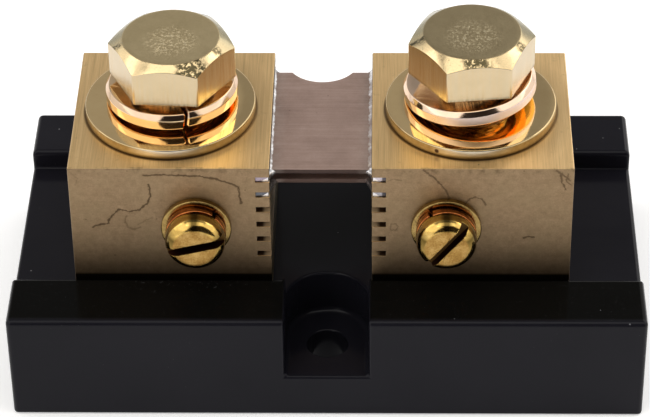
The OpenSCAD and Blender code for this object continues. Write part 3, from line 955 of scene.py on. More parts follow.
def mat_block(name, stains, seed):
    m = Mat(name)
    top, side, front, x, y, z = grain_coord(m)
    off = seed * 13.7
    # along, across and depth of the grain for the three face directions
    along = m.math("ADD", m.math("MULTIPLY", m.math("ADD", top, side, clamp=True), y), m.math("MULTIPLY", front, x))
    across = m.math("ADD", m.math("MULTIPLY", top, x), m.math("MULTIPLY", m.math("ADD", side, front, clamp=True), z))
    g = m.comb(m.math("ADD", along, off), across, m.math("MULTIPLY", top, 7.0))
    fine = m.noise(1.0, 4, 0.65, stretch=(0.10, 9.0, 1.0), vec=g)
    coarse = m.noise(1.0, 3, 0.6, stretch=(0.045, 2.4, 1.0), vec=g, offset=(3.1, 0, 0))
    hair = m.noise(1.0, 2, 0.5, stretch=(0.25, 22.0, 1.0), vec=g, offset=(7.7, 2, 0))
    blotch = m.noise(0.22, 4, 0.6, offset=(off, 0, 0))
    grit = m.noise(5.5, 4, 0.75, offset=(0, off, 0))
    mid = m.noise(1.3, 4, 0.6, offset=(off, 4, 0))
    scratches = m.math("ADD", m.math("MULTIPLY", fine, 0.55), m.math("ADD", m.math("MULTIPLY", coarse, 0.3), m.math("MULTIPLY", hair, 0.15)))
    # colour: lighter and yellower on the top, darker and browner on the front and sides
    bright = m.ramp(scratches, [(0.36, (0.70, 0.475, 0.220)), (0.50, (0.88, 0.605, 0.290)), (0.64, (0.98, 0.72, 0.38))])
    dull = m.ramp(m.math("ADD", m.math("MULTIPLY", scratches, 0.35), m.math("ADD", m.math("MULTIPLY", mid, 0.35), m.math("MULTIPLY", grit, 0.3))),
                  [(0.36, (0.245, 0.168, 0.094)), (0.50, (0.325, 0.224, 0.130)), (0.64, (0.41, 0.290, 0.175))])
    color = m.mix(top, dull, bright)
    color = m.mix(m.math("MULTIPLY", m.range(blotch, 0.42, 0.66, 0.0, 0.35), m.math("SUBTRACT", 1.0, top, clamp=True)), color, (0.33, 0.245, 0.138))
    # painted shade: the front and sides darken towards the bottom, near the ledge
    low = m.math("MULTIPLY", m.range(z, BZ0 + 8.0, BZ0 + 2.0, 0.0, 0.42), m.math("SUBTRACT", 1.0, top, clamp=True))
    color = m.mix(low, color, (0.10, 0.060, 0.030))
    # painted shadow: a near-black band along the bottom of the front face, just above the ledge
    foot_shadow = m.math("MULTIPLY", front, m.range(z, LEDGE + 0.52, LEDGE + 0.15))
    color = m.mix(foot_shadow, color, (0.016, 0.012, 0.008))
    # painted shade: the inner faces, between the plates, are darkened
    inner = m.math("MULTIPLY", side, m.math("LESS_THAN", m.math("MINIMUM", m.math("ABSOLUTE", m.math("SUBTRACT", x, XIL)), m.math("ABSOLUTE", m.math("SUBTRACT", x, XIR))), 0.12))
    color = m.mix(m.math("MULTIPLY", inner, 0.75), color, (0.050, 0.045, 0.020))
    # painted shadows round the washers: a thin contact shadow round each washer's base and a soft shadow on its right
    # side
    for wx in (MAIN_L - 0.4, MAIN_R):
        ax, ay = m.math("SUBTRACT", x, wx), m.math("SUBTRACT", y, AXY + 0.05)
        wr = m.math("SQRT", m.math("ADD", m.math("MULTIPLY", ax, ax), m.math("MULTIPLY", ay, ay)))
        line = m.math("MULTIPLY", m.math("MULTIPLY", m.range(wr, 12.52, 12.28), m.range(wr, 11.90, 12.05)), m.math("MULTIPLY", top, m.range(z, BZ1 - 0.3, BZ1 - 0.1)))
        color = m.mix(m.math("MULTIPLY", line, 0.85), color, (0.085, 0.048, 0.022))
        painted_side_shadow = m.math("MULTIPLY", m.math("MULTIPLY", m.range(wr, 16.0, 12.3), m.range(wr, 11.7, 12.1)), m.math("MULTIPLY", m.range(ax, 5.0, 10.5), top))
        color = m.mix(m.math("MULTIPLY", painted_side_shadow, 0.42), color, (0.36, 0.235, 0.105))
    # stains on the front face
    mask = None
    wob = m.math("SUBTRACT", m.noise(1.6, 3, 0.6, offset=(off, 1, 5)), 0.5)
    wob2 = m.math("SUBTRACT", m.noise(1.6, 3, 0.6, offset=(off + 9, 6, 2)), 0.5)
    px = m.math("ADD", x, m.math("MULTIPLY", wob, 0.55))
    pz = m.math("ADD", z, m.math("MULTIPLY", wob2, 0.55))
    width_var = m.range(m.noise(2.3, 3, 0.6, offset=(off, 8, 1)), 0.35, 0.65, 0.55, 1.5)
    for pts, w, a in stains:
        d = m.math("DIVIDE", m.polyline(pts, px, pz), width_var)
        s = m.range(d, w * 0.5, w * 2.6, a * 0.9, 0.0, smooth=True)
        mask = s if mask is None else m.math("MAXIMUM", mask, s)
    on_front = m.math("LESS_THAN", y, YF + 0.3)
    mask = m.math("MULTIPLY", mask, on_front)
    # dark pits and dirt
    pit = m.math("MULTIPLY", m.range(m.voronoi(0.8), 0.05, 0.11, 1.0, 0.0), m.range(m.xyz(m.voronoi(0.8, out="Color"))[0], 0.90, 0.92))
    mask = m.math("MAXIMUM", mask, m.math("MULTIPLY", pit, 0.6))
    grime = m.range(m.noise(0.9, 5, 0.7, offset=(off, 2, 8)), 0.60, 0.78, 0.0, 0.25)
    mask = m.math("MAXIMUM", mask, grime)
    # dirt gathers just under the top edge of the front face
    edge = m.math("MULTIPLY", m.math("MULTIPLY", on_front, m.range(z, BZ1 - 1.4, BZ1 - 0.2, 0.0, 1.0)), m.range(m.noise(0.8, 5, 0.7, offset=(off, 0, 3)), 0.50, 0.66, 0.0, 0.45))
    mask = m.math("MAXIMUM", mask, edge)
    color = m.mix(mask, color, (0.075, 0.042, 0.022))
    # the saw slots, painted shade: dark at their far end, lighter towards the mouth
    deep = m.math("MAXIMUM", m.math("MULTIPLY", m.math("SUBTRACT", XIL, x), m.math("LESS_THAN", x, 0.5 * (XIL + XIR))),
                  m.math("MULTIPLY", m.math("SUBTRACT", x, XIR), m.math("GREATER_THAN", x, 0.5 * (XIL + XIR))))
    inside = m.math("MULTIPLY", m.math("MULTIPLY", m.math("LESS_THAN", z, BZ1 - 1.0), m.math("GREATER_THAN", z, BZ0 + 1.0)),
                    m.math("MULTIPLY", m.math("LESS_THAN", deep, SLOT_D + 0.05), m.math("GREATER_THAN", y, YF + 0.16)))
    walls = m.math("MAXIMUM", top, m.math("MULTIPLY", side, m.math("GREATER_THAN", deep, SLOT_D - 0.3)))
    slot = m.math("MULTIPLY", inside, walls)
    color = m.mix(slot, color, m.mix(m.range(deep, 0.70, 1.20), (0.46, 0.33, 0.19), (0.050, 0.022, 0.007)))
    rough = m.math("ADD", m.range(scratches, 0.35, 0.65, 0.34, 0.48), m.math("MULTIPLY", m.math("SUBTRACT", 1.0, top, clamp=True), 0.10))
    rough = m.math("ADD", rough, m.math("MULTIPLY", mask, 0.3))
    h = m.math("ADD", m.math("MULTIPLY", scratches, 1.0), m.math("MULTIPLY", grit, 0.25))
    b = m.bump(h, 0.55, 0.035)
    b = m.bump(m.math("SUBTRACT", 1.0, mask), 0.3, 0.02, b)
    m.set(color=color, metal=m.range(slot, 0.0, 1.0, 1.0, 0.25), rough=rough, normal=b)
    return m.m


def mat_manganin():
    m = Mat("rolled_manganin")
    x, y, z = m.xyz()
    roll = m.noise(1.0, 4, 0.6, stretch=(0.12, 3.0, 1.0))
    cloud = m.noise(0.16, 4, 0.6)
    grit = m.noise(4.0, 4, 0.7)
    color = m.ramp(m.math("ADD", m.math("MULTIPLY", roll, 0.3), m.math("ADD", m.math("MULTIPLY", cloud, 0.5), m.math("MULTIPLY", grit, 0.2))),
                   [(0.36, (0.33, 0.228, 0.190)), (0.50, (0.42, 0.297, 0.250)), (0.66, (0.505, 0.375, 0.325))])
    # darker flecks; the cut edges are darker, darkest on the upper plate, as is a narrow strip of the upper plate's top
    # along its front edge
    spots = m.math("MULTIPLY", m.range(m.voronoi(0.75), 0.06, 0.13, 1.0, 0.0), m.range(m.xyz(m.voronoi(0.75, out="Color"))[0], 0.80, 0.82))
    color = m.mix(m.math("MULTIPLY", spots, 0.55), color, (0.12, 0.08, 0.065))
    n = m.normal()
    nx, ny, nz = m.xyz(n)
    edge = m.range(m.math("ABSOLUTE", nz), 0.75, 0.25)
    low = m.range(z, PL0[2] - 0.6, PL0[2] - 0.2)
    dark = m.mix(low, (0.085, 0.052, 0.042), (0.045, 0.028, 0.024))
    edge = m.math("MAXIMUM", edge, m.math("MULTIPLY", m.math("LESS_THAN", y, PL0[1] + 0.35), m.math("MULTIPLY", m.range(m.math("ABSOLUTE", nz), 0.97, 0.90), m.math("GREATER_THAN", z, PL0[2] - 0.1))))
    color = m.mix(m.math("MULTIPLY", edge, 0.92), color, dark)
    # flux haze beside the joints
    near = m.math("MINIMUM", m.math("SUBTRACT", x, XIL), m.math("SUBTRACT", XIR, x))
    haze = m.math("MULTIPLY", m.range(near, 0.4, 2.2, 1.0, 0.0), m.range(m.noise(0.7, 4, 0.6), 0.35, 0.7, 0.0, 0.35))
    color = m.mix(haze, color, (0.62, 0.54, 0.48))
    rough = m.range(cloud, 0.3, 0.7, 0.46, 0.58)
    b = m.bump(m.math("ADD", m.math("MULTIPLY", roll, 0.7), m.math("MULTIPLY", grit, 0.5)), 0.35, 0.03)
    m.set(color=color, metal=0.85, rough=rough, normal=b)
    return m.m


def mat_solder():
    m = Mat("tin_solder")
    n1 = m.noise(1.2, 4, 0.6)
    n2 = m.noise(6.0, 3, 0.6)
    color = m.ramp(n1, [(0.30, (0.42, 0.41, 0.40)), (0.55, (0.68, 0.68, 0.69)), (0.75, (0.84, 0.85, 0.87))])
    color = m.mix(m.range(m.noise(2.2, 4, 0.7, offset=(4, 0, 0)), 0.62, 0.74, 0.0, 0.7), color, (0.10, 0.085, 0.075))
    # bright at the slots' mouths; painted shade inside them: greyer and darker where it fills the slots, darker in the
    # lower slot
    x, y, z = m.xyz()
    zs = 0.5 * (PL0[2] + QL1[2])
    upper = m.range(z, zs - 0.1, zs + 0.1)
    color = m.mix(m.math("MULTIPLY", m.math("GREATER_THAN", x, 0.5 * (XIL + XIR)), 0.6), color, (0.86, 0.84, 0.86))
    left = m.math("LESS_THAN", x, 0.5 * (XIL + XIR))
    deep = m.math("MAXIMUM", m.math("SUBTRACT", XIL, x), m.math("SUBTRACT", x, XIR))
    front = m.math("LESS_THAN", y, YF + 0.9)
    lcol = m.mix(upper, (0.13, 0.135, 0.155), (0.36, 0.30, 0.36))
    rcol = m.mix(upper, (0.34, 0.33, 0.36), (0.55, 0.50, 0.55))
    fill = m.mix(left, rcol, lcol)
    # painted shade: near black at the far end of the right slots
    slot_end_shade = m.math("MULTIPLY", m.range(deep, 1.35, 1.55), m.math("SUBTRACT", 1.0, left, clamp=True))
    fill = m.mix(m.math("MULTIPLY", slot_end_shade, 0.85), fill, (0.03, 0.025, 0.025))
    wob = m.math("MULTIPLY", m.math("SUBTRACT", m.noise(1.9, 3, 0.6, offset=(2, 5, 9)), 0.5), 0.5)
    color = m.mix(m.math("MULTIPLY", m.range(deep, -0.05, 0.10), front), color, fill)
    t = m.fmix(upper, m.range(z, QL1[2], QL0[2]), m.range(z, PL1[2], PL0[2]))
    reach = m.math("SUBTRACT", m.math("ADD", deep, wob), m.math("MULTIPLY", t, 0.95))
    mouth = m.math("MULTIPLY", m.range(reach, 0.22, 0.06), m.math("MULTIPLY", front, m.range(deep, -0.3, 0.0)))
    color = m.mix(m.math("MULTIPLY", mouth, 0.8), color, (0.90, 0.88, 0.88))
    b = m.bump(m.math("ADD", n1, m.math("MULTIPLY", n2, 0.35)), 0.8, 0.10)
    m.set(color=color, metal=1.0, rough=m.range(n2, 0.3, 0.7, 0.22, 0.42), normal=b)
    return m.m


def mat_bolt(name, cx, cy, zu, seed, pit_a, pit_b, dull=1.0):
    """Gold plated bolt: vertical drawing lines on the flats, a dull forged crown and a pitted chamfer."""
    m = Mat(name)
    x, y, z = m.xyz()
    ux, uy = m.math("SUBTRACT", x, cx), m.math("SUBTRACT", y, cy)
    rad = m.math("SQRT", m.math("ADD", m.math("MULTIPLY", ux, ux), m.math("MULTIPLY", uy, uy)))
    n = m.normal()
    nx, ny, nz = m.xyz(n)
    crown = m.range(nz, 0.90, 0.97)
    slope = m.math("MULTIPLY", m.range(nz, 0.30, 0.45), m.math("SUBTRACT", 1.0, crown, clamp=True))
    flat = m.range(m.math("ABSOLUTE", nz), 0.35, 0.15)
    draw = m.noise(1.0, 4, 0.65, stretch=(3.2, 3.2, 0.10), offset=(seed, 0, 0))
    draw2 = m.noise(1.0, 3, 0.6, stretch=(9.0, 9.0, 0.22), offset=(0, seed, 0))
    cloud = m.noise(0.35, 4, 0.6, offset=(seed, seed, 0))
    grit = m.noise(3.0, 5, 0.75, offset=(seed, 2, 0))
    forge = m.noise(2.0, 5, 0.72, offset=(0, seed, 3), distort=0.4)
    gold = m.ramp(cloud, [(0.3, (0.575, 0.46, 0.290)), (0.7, (0.635, 0.515, 0.340))])
    streak = m.range(draw, 0.36, 0.66, 0.0, 1.0)
    gold = m.mix(m.math("MULTIPLY", m.math("MULTIPLY", streak, flat), 0.35), gold, (0.70, 0.52, 0.28))
    # crown: olive, with a worn forged patch near its middle
    oliv = m.ramp(m.math("ADD", m.math("MULTIPLY", cloud, 0.6), m.math("MULTIPLY", grit, 0.4)), [(0.35, (0.54 * dull, 0.425 * dull, 0.232 * dull)), (0.65, (0.62 * dull, 0.495 * dull, 0.280 * dull))])
    toward = m.math("DIVIDE", uy, m.math("ADD", rad, 0.01))
    # painted light: the flats facing the middle of the shunt are made brighter and yellower
    inner = m.math("MULTIPLY", flat, m.range(m.math("MULTIPLY", nx, 1.0 if cx < 0 else -1.0), 0.55, 0.75))
    gold = m.mix(inner, gold, m.mix(streak, (0.88, 0.73, 0.36), (0.74, 0.53, 0.22)))
    # painted light and shade on the chamfer: bright towards the front, dark towards the rear
    painted_chamfer_shading = m.mix(m.range(toward, -0.50, 0.05), (0.75, 0.575, 0.320), (0.31, 0.270, 0.165))
    gold = m.mix(m.range(nz, 0.30, 0.45), gold, painted_chamfer_shading)
    color = m.mix(crown, gold, oliv)
    py = m.math("ADD", uy, 1.1)
    off = m.math("SQRT", m.math("ADD", m.math("MULTIPLY", ux, ux), m.math("MULTIPLY", py, py)))
    patch = m.math("MULTIPLY", m.range(off, 2.2, 4.4, 1.0, 0.0), crown)
    marks = m.range(forge, 0.54, 0.62)
    worn = m.math("MULTIPLY", patch, marks)
    color = m.mix(m.math("MULTIPLY", worn, 0.30), color, (0.93, 0.84, 0.60))
    # pits on part of the chamfer
    ang = m.math("ARCTAN2", uy, ux)
    edge = m.math("MULTIPLY", m.math("SUBTRACT", m.noise(0.8, 3, 0.6, offset=(seed, 0, 2)), 0.5), 0.22)
    ang = m.math("ADD", ang, edge)
    win = m.math("MULTIPLY", m.range(ang, math.radians(pit_a - 2), math.radians(pit_a + 2)), m.range(ang, math.radians(pit_b + 5), math.radians(pit_b - 5)))
    coarse = m.noise(1.7, 4, 0.65, offset=(4, seed, 1), distort=0.5)
    pits = m.math("MULTIPLY", m.range(coarse, 0.44, 0.50), m.math("MULTIPLY", slope, win))
    for mid, half in ((-25, 8), (-168, 5)):
        corner = m.range(m.math("ABSOLUTE", m.math("SUBTRACT", ang, math.radians(mid))), math.radians(half), math.radians(half * 0.4))
        pits = m.math("MAXIMUM", pits, m.math("MULTIPLY", m.math("MULTIPLY", corner, slope), m.range(coarse, 0.40, 0.50, 0.2, 0.9)))
    few = m.math("MULTIPLY", m.range(grit, 0.62, 0.68), slope)
    pits = m.math("MAXIMUM", pits, m.math("MULTIPLY", few, 0.6))
    color = m.mix(m.math("MULTIPLY", pits, 0.93), color, (0.045, 0.038, 0.016))
    # painted shade: dark streaks along the bottom of the flats, just above the washer
    dark = m.math("MULTIPLY", m.range(z, zu + 0.55, zu + 0.05), m.math("MULTIPLY", flat, m.range(draw2, 0.42, 0.52)))
    color = m.mix(m.math("MULTIPLY", dark, 0.75), color, (0.13, 0.085, 0.035))
    rough = m.fmix(crown, m.range(draw, 0.3, 0.7, 0.13, 0.26), m.range(grit, 0.3, 0.7, 0.30, 0.42))
    h = m.math("ADD", m.math("MULTIPLY", m.math("MULTIPLY", draw, flat), 0.55), m.math("MULTIPLY", m.math("MULTIPLY", draw2, flat), 0.25))
    b = m.bump(h, 0.45, 0.04)
    b = m.bump(m.math("ADD", m.math("MULTIPLY", grit, crown), m.math("MULTIPLY", m.math("MULTIPLY", marks, patch), 1.6)), 0.40, 0.05, b)
    b = m.bump(pits, 0.35, 0.05, b)
    m.set(color=color, metal=1.0, rough=rough, normal=b)
    return m.m


def mat_polished(name, lo, hi, rough, wave, seed, pit_col=(0.20, 0.10, 0.04), rim_x=None, ding=None, outer=None, bevel=None):
    """Plated and polished metal with faint waviness, smears and a few pits."""
    m = Mat(name)
    cloud = m.noise(0.22, 4, 0.6, offset=(seed, 0, 1))
    smear = m.noise(1.0, 4, 0.65, stretch=(0.5, 1.8, 1.0), offset=(seed, 5, 0))
    grit = m.noise(7.0, 3, 0.7, offset=(0, seed, 0))
    color = m.ramp(cloud, [(0.32, lo), (0.68, hi)])
    pit = m.math("MULTIPLY", m.range(m.voronoi(0.9), 0.04, 0.09, 1.0, 0.0), m.range(m.xyz(m.voronoi(0.9, out="Color"))[0], 0.90, 0.92))
    color = m.mix(m.math("MULTIPLY", pit, 0.7), color, pit_col)
    r = m.math("ADD", m.range(smear, 0.35, 0.70, rough * 0.7, rough * 1.5), m.math("MULTIPLY", pit, 0.3))
    if rim_x is not None:
        # the punched rim is duller than the faces, with a worn bright part in front
        x, y, z = m.xyz()
        nz = m.math("ABSOLUTE", m.xyz(m.normal())[2])
        rim = m.range(nz, 0.55, 0.35)
        # painted glow: the top face under the spring washer is made bright gold, standing in for light bounced between
        # the two washers
        ax, ay = m.math("SUBTRACT", x, rim_x), m.math("SUBTRACT", y, BAY)
        painted_glow = m.math("MULTIPLY", m.range(nz, 0.85, 0.95), m.range(m.math("SQRT", m.math("ADD", m.math("MULTIPLY", ax, ax), m.math("MULTIPLY", ay, ay))), 9.1, 8.8))
        color = m.mix(painted_glow, color, (0.985, 0.74, 0.31))
        # painted shade: the edge bevels are darkened to hold back their highlight
        corner = m.math("MULTIPLY", m.range(nz, 0.985, 0.93), m.math("SUBTRACT", 1.0, rim, clamp=True))
        color = m.mix(m.math("MULTIPLY", corner, 0.75), color, (0.40, 0.30, 0.155))
        worn = m.math("MULTIPLY", m.range(m.math("ABSOLUTE", m.math("SUBTRACT", x, rim_x)), 6.0, 2.5), m.range(z, BZ1 + 0.35, BZ1 + 0.7))
        shade = m.mix(worn, m.mix(m.range(smear, 0.4, 0.6), (0.27, 0.20, 0.095), (0.34, 0.26, 0.13)), (0.74, 0.67, 0.54))
        color = m.mix(m.math("MULTIPLY", rim, 0.92), color, shade)
        r = m.math("ADD", r, m.math("MULTIPLY", rim, 0.24))
    if bevel is not None or outer is not None:
        # painted glow: the spring washers' undersides are made bright gold, for the light bounced between them and the
        # flat washers
        color = m.mix(m.range(m.xyz(m.normal())[2], -0.80, -0.93), color, (0.985, 0.70, 0.34))
    if bevel is not None:
        # painted shade: the sloped bevel is darkened, in patches; the noise called worn only makes it patchy
        tilt = m.math("ABSOLUTE", m.xyz(m.normal())[2])
        worn = m.range(m.noise(0.35, 3, 0.5, offset=(seed, 2, 2)), 0.35, 0.65, 0.65, 1.0)
        color = m.mix(m.math("MULTIPLY", worn, m.math("MULTIPLY", m.range(tilt, 0.28, 0.42), m.range(tilt, 0.975, 0.93))), color, bevel)
    if outer is not None:
        # painted reflection: the coiled wire's outer face, but for its far left, is drawn pale pink, standing in for
        # the floor it shows, and made rougher
        x, y, z = m.xyz()
        ax, ay = m.math("SUBTRACT", x, outer[0]), m.math("SUBTRACT", y, outer[1])
        far = m.range(m.math("SQRT", m.math("ADD", m.math("MULTIPLY", ax, ax), m.math("MULTIPLY", ay, ay))), outer[2], outer[2] + 0.2)
        painted_floor_reflection = m.math("MULTIPLY", far, m.math("MULTIPLY", m.range(m.math("ABSOLUTE", m.xyz(m.normal())[2]), 0.35, 0.20), m.range(ax, -7.0, -3.0)))
        color = m.mix(painted_floor_reflection, color, (0.80, 0.66, 0.60))
        r = m.math("ADD", r, m.math("MULTIPLY", painted_floor_reflection, 0.33))
    if ding is not None:
        d = m.vmath("DISTANCE", m.mm, ding)
        hit = m.range(d, 0.22, 0.40, 1.0, 0.0)
        color = m.mix(hit, color, (0.10, 0.055, 0.03))
        r = m.math("ADD", r, m.math("MULTIPLY", hit, 0.3))
    b = m.bump(m.noise(0.45, 2, 0.5, offset=(seed, 0, 0)), wave, 0.06)
    b = m.bump(grit, 0.10, 0.012, b)
    m.set(color=color, metal=1.0, rough=r, normal=b)
    return m.m


def mat_screw(name, c, seed, slot_deg):
    """Turned yellow brass head: darker face, domed edge with painted highlights beside the top and painted shade
    elsewhere, painted shade in the slot.
    """
    m = Mat(name)
    x, y, z = m.xyz()
    ux, uz = m.math("SUBTRACT", x, float(c[0])), m.math("SUBTRACT", z, float(c[2]))
    rad = m.math("SQRT", m.math("ADD", m.math("MULTIPLY", ux, ux), m.math("MULTIPLY", uz, uz)))
    rings = m.noise(1.0, 3, 0.6, vec=m.comb(m.math("MULTIPLY", rad, 5.0), m.math("MULTIPLY", y, 6.0), seed))
    cloud = m.noise(0.7, 4, 0.65, offset=(seed, 3, 0))
    grit = m.noise(4.0, 4, 0.7, offset=(3, seed, 0))
    ny = m.xyz(m.normal())[1]
    face = m.range(ny, -0.93, -0.985)
    edge = m.ramp(cloud, [(0.30, (0.62, 0.40, 0.10)), (0.55, (0.72, 0.47, 0.13)), (0.75, (0.78, 0.54, 0.18))])
    # painted highlights: the domed edge is bright only from about 14 to 49 degrees either side of the top; elsewhere
    # painted shade, darker on the upper part
    turn_a = m.math("ABSOLUTE", m.math("ARCTAN2", ux, uz))
    painted_highlight = m.math("MULTIPLY", m.range(turn_a, 0.07, 0.24), m.range(turn_a, 1.15, 0.85))
    painted_highlight = m.math("MULTIPLY", painted_highlight, m.range(rad, 2.75, 3.0))
    edge = m.mix(painted_highlight, m.mix(m.range(m.math("ABSOLUTE", turn_a), 1.2, 1.7), (0.13, 0.085, 0.022), (0.34, 0.22, 0.06)), edge)
    dull = m.ramp(m.math("ADD", m.math("MULTIPLY", cloud, 0.55), m.math("MULTIPLY", grit, 0.45)),
                  [(0.34, (0.20, 0.105, 0.026)), (0.48, (0.36, 0.205, 0.055)), (0.62, (0.52, 0.335, 0.115))])
    color = m.mix(face, edge, dull)
    dirt = m.range(m.noise(1.5, 5, 0.7, offset=(seed, 0, 7)), 0.60, 0.70, 0.0, 0.6)
    color = m.mix(m.math("MULTIPLY", dirt, face), color, (0.16, 0.085, 0.03))
    # painted shade: the inside of the slot is near black
    sa, ca = math.sin(math.radians(slot_deg)), math.cos(math.radians(slot_deg))
    across = m.math("ABSOLUTE", m.math("ADD", m.math("MULTIPLY", ux, -sa), m.math("MULTIPLY", uz, ca)))
    slot = m.math("MULTIPLY", m.range(across, 0.63, 0.60), m.math("MULTIPLY", m.range(y, float(c[1]) - 3.6, float(c[1]) - 3.8), m.range(rad, 4.3, 4.1)))
    color = m.mix(slot, color, (0.030, 0.008, 0.004))
    rough = m.fmix(face, m.range(rings, 0.3, 0.7, 0.12, 0.20), m.range(grit, 0.3, 0.7, 0.30, 0.42))
    rough = m.math("ADD", rough, m.math("MULTIPLY", slot, 0.35), clamp=True)
    b = m.bump(m.math("ADD", m.math("MULTIPLY", rings, 0.5), m.math("MULTIPLY", grit, 0.5)), 0.30, 0.03)
    m.set(color=color, metal=1.0, rough=rough, normal=b)
    return m.m


def mat_small_ring(name, lo, hi, seed):
    """Small washers: tarnished yellow or orange brass with dark spots."""
    m = Mat(name)
    cloud = m.noise(0.9, 4, 0.65, offset=(seed, 3, 0))
    grit = m.noise(5.0, 4, 0.7, offset=(3, seed, 0))
    color = m.ramp(m.math("ADD", m.math("MULTIPLY", cloud, 0.6), m.math("MULTIPLY", grit, 0.4)), [(0.36, lo), (0.64, hi)])
    dirt = m.range(m.noise(1.7, 5, 0.7, offset=(seed, 0, 7)), 0.56, 0.68, 0.0, 0.7)
    color = m.mix(dirt, color, (0.07, 0.03, 0.012))
    m.set(color=color, metal=1.0, rough=m.range(grit, 0.3, 0.7, 0.12, 0.24), normal=m.bump(grit, 0.25, 0.03))
    return m.m


def mat_zinc():
    m = Mat("zinc_plated_steel")
    a = m.noise(0.9, 4, 0.6)
    g = m.noise(5.0, 3, 0.7)
    color = m.ramp(a, [(0.3, (0.42, 0.43, 0.46)), (0.7, (0.62, 0.63, 0.66))])
    m.set(color=color, metal=1.0, rough=m.range(g, 0.3, 0.7, 0.24, 0.40), normal=m.bump(m.math("ADD", a, g), 0.25, 0.03))
    return m.m


def mat_floor():
    m = Mat("studio_floor")
    n = m.noise(0.02, 3, 0.5)
    m.set(color=m.ramp(n, [(0.3, (0.90, 0.90, 0.90)), (0.7, (0.92, 0.92, 0.92))]), rough=0.6, spec=0.1)
    m.b.inputs["Emission Color"].default_value = (1.0, 1.0, 1.0, 1.0)
    m.b.inputs["Emission Strength"].default_value = 0.32
    return m.m


def dress(ob, mat):
    ob.data.materials.clear()
    ob.data.materials.append(mat)
    for p in ob.data.polygons:
        p.material_index = 0


# ------------------------------------------------------------------ the pieces

def take(ob, node, mat):
    dress(ob, mat)
    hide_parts(node)
    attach(ob, BODY[node])
    return ob


BODY = {n: b for b, ns in frame["record"]["behaviour"]["bodies"].items() for n in ns}

PLASTIC = mat_plastic()
MANGANIN = mat_manganin()
SOLDER = mat_solder()
ZINC = mat_zinc()
# the flat washers' bright gold under the spring washers is a painted glow
WASHERS = {"left": mat_polished("gold_washer_left", (0.82, 0.595, 0.30), (0.88, 0.655, 0.34), 0.06, 0.08, 3.0, rim_x=MAIN_L),
           "right": mat_polished("gold_washer_right", (0.82, 0.595, 0.30), (0.88, 0.655, 0.34), 0.06, 0.08, 6.0, rim_x=MAIN_R, ding=(MAIN_R - 5.0, AXY - 10.95, BZ1 + 0.75))}
# the left ring's bevel colour is painted shade; the right ring's outer colour is a painted reflection
COPPER = mat_polished("polished_rose_gold", (0.90, 0.64, 0.37), (0.94, 0.70, 0.44), 0.095, 0.10, 8.0, bevel=(0.68, 0.485, 0.345))
COPPER_R = mat_polished("polished_rose_gold_right", (0.84, 0.60, 0.42), (0.89, 0.67, 0.50), 0.095, 0.10, 12.0, outer=(MAIN_R - 0.2, BAY, 8.9))

SMALL = mat_small_ring("small_brass_washer", (0.22, 0.145, 0.045), (0.42, 0.285, 0.105), 9.0)
ORANGE = mat_small_ring("small_copper_spring", (0.22, 0.060, 0.016), (0.56, 0.200, 0.055), 4.0)

take(make_base(), "base", PLASTIC)
take(make_block("terminal_block_left", True), "block_left", mat_block("sawn_brass_left", STAINS_LEFT, 1.0))
take(make_block("terminal_block_right", False), "block_right", mat_block("sawn_brass_right", STAINS_RIGHT, 4.0))
take(make_plate("resistance_plate_upper", PL0, PL1, 2.0), "shunt_plate_upper", MANGANIN)
take(make_plate("resistance_plate_lower", QL0, QL1, 5.0), "shunt_plate_lower", MANGANIN)
take(make_solder("solder_left_upper", PL0, PL1, True, 0.35, 1.0), "solder_left_upper", SOLDER)
take(make_solder("solder_left_lower", QL0, QL1, True, 0.35, 2.0), "solder_left_lower", SOLDER)
take(make_solder("solder_right_upper", PL0, PL1, False, 0.68, 3.0), "solder_right_upper", SOLDER)
take(make_solder("solder_right_lower", QL0, QL1, False, 0.48, 4.0), "solder_right_lower", SOLDER)

b = make_bolt("hex_bolt_left", -3.5, 1.0)
take(place(b, at(MAIN_L, BAY, UND_L)), "bolt_left", mat_bolt("plated_bolt_left", MAIN_L, BAY, UND_L, 2.0, -82, -48))
b = make_bolt("hex_bolt_right", 6.5, 6.0)
take(place(b, at(MAIN_R, BAY, UND_R)), "bolt_right", mat_bolt("plated_bolt_right", MAIN_R, BAY, UND_R, 7.0, -100, -72, 0.66))

for side, cx in (("left", MAIN_L - 0.4), ("right", MAIN_R)):
    w = make_flat_washer("washer_" + side, 6.5, 12.1, 1.5, 0.16)
    take(place(w, at(cx, AXY + 0.05, BZ1)), "flat_washer_" + side, WASHERS[side])

w = make_spring("lock_washer_left", 5.5, 9.4, 2.25, 286, 2.6, -0.25, 0.30, n=190, burr=0.26, cut=2.0, end=0.20)
take(place(w, at(MAIN_L - 0.2, BAY, WT + 1.58, rx=-1.9, ry=-0.8)), "spring_washer_left", COPPER)
w = make_spring("lock_washer_right", 5.5, 9.4, 2.25, 90, 7.0, 0.3, 0.30, n=190, burr=0.26, cut=2.0, end=0.20)
take(place(w, at(MAIN_R - 0.2, BAY, WT + 2.18, rx=-1.6, ry=-5.3)), "spring_washer_right", COPPER_R)

for side, c, slot, split in (("left", SENSE_L, 14.0, 50), ("right", SENSE_R, 52.0, 122)):
    def front(h):
        return at(c[0], c[1] - h, c[2], rx=90)
    s = make_sense_screw("slotted_screw_" + side, slot, 3.0)
    take(place(s, front(2.5)), "sense_screw_" + side, mat_screw("turned_brass_" + side, c, 2.0 if side == "left" else 5.0, slot))
    w = make_flat_washer("small_washer_" + side, 2.8, 4.95, 1.0, 0.14, 110)
    take(place(w, front(0.0)), "sense_flat_washer_" + side, SMALL)
    w = make_spring("small_lock_washer_" + side, 2.8, 4.25, 1.2, split, 7.0, 0.25, 0.2, 110)
    take(place(w, front(1.76)), "sense_spring_washer_" + side, ORANGE)

for side, cx in (("left", MAIN_L), ("right", MAIN_R)):
    take(make_foot_screws("underside_screws_" + side, cx), "base_screws_" + side, ZINC)
    take(make_foot_washers("underside_washers_" + side, cx), "base_screw_washers_" + side, ZINC)

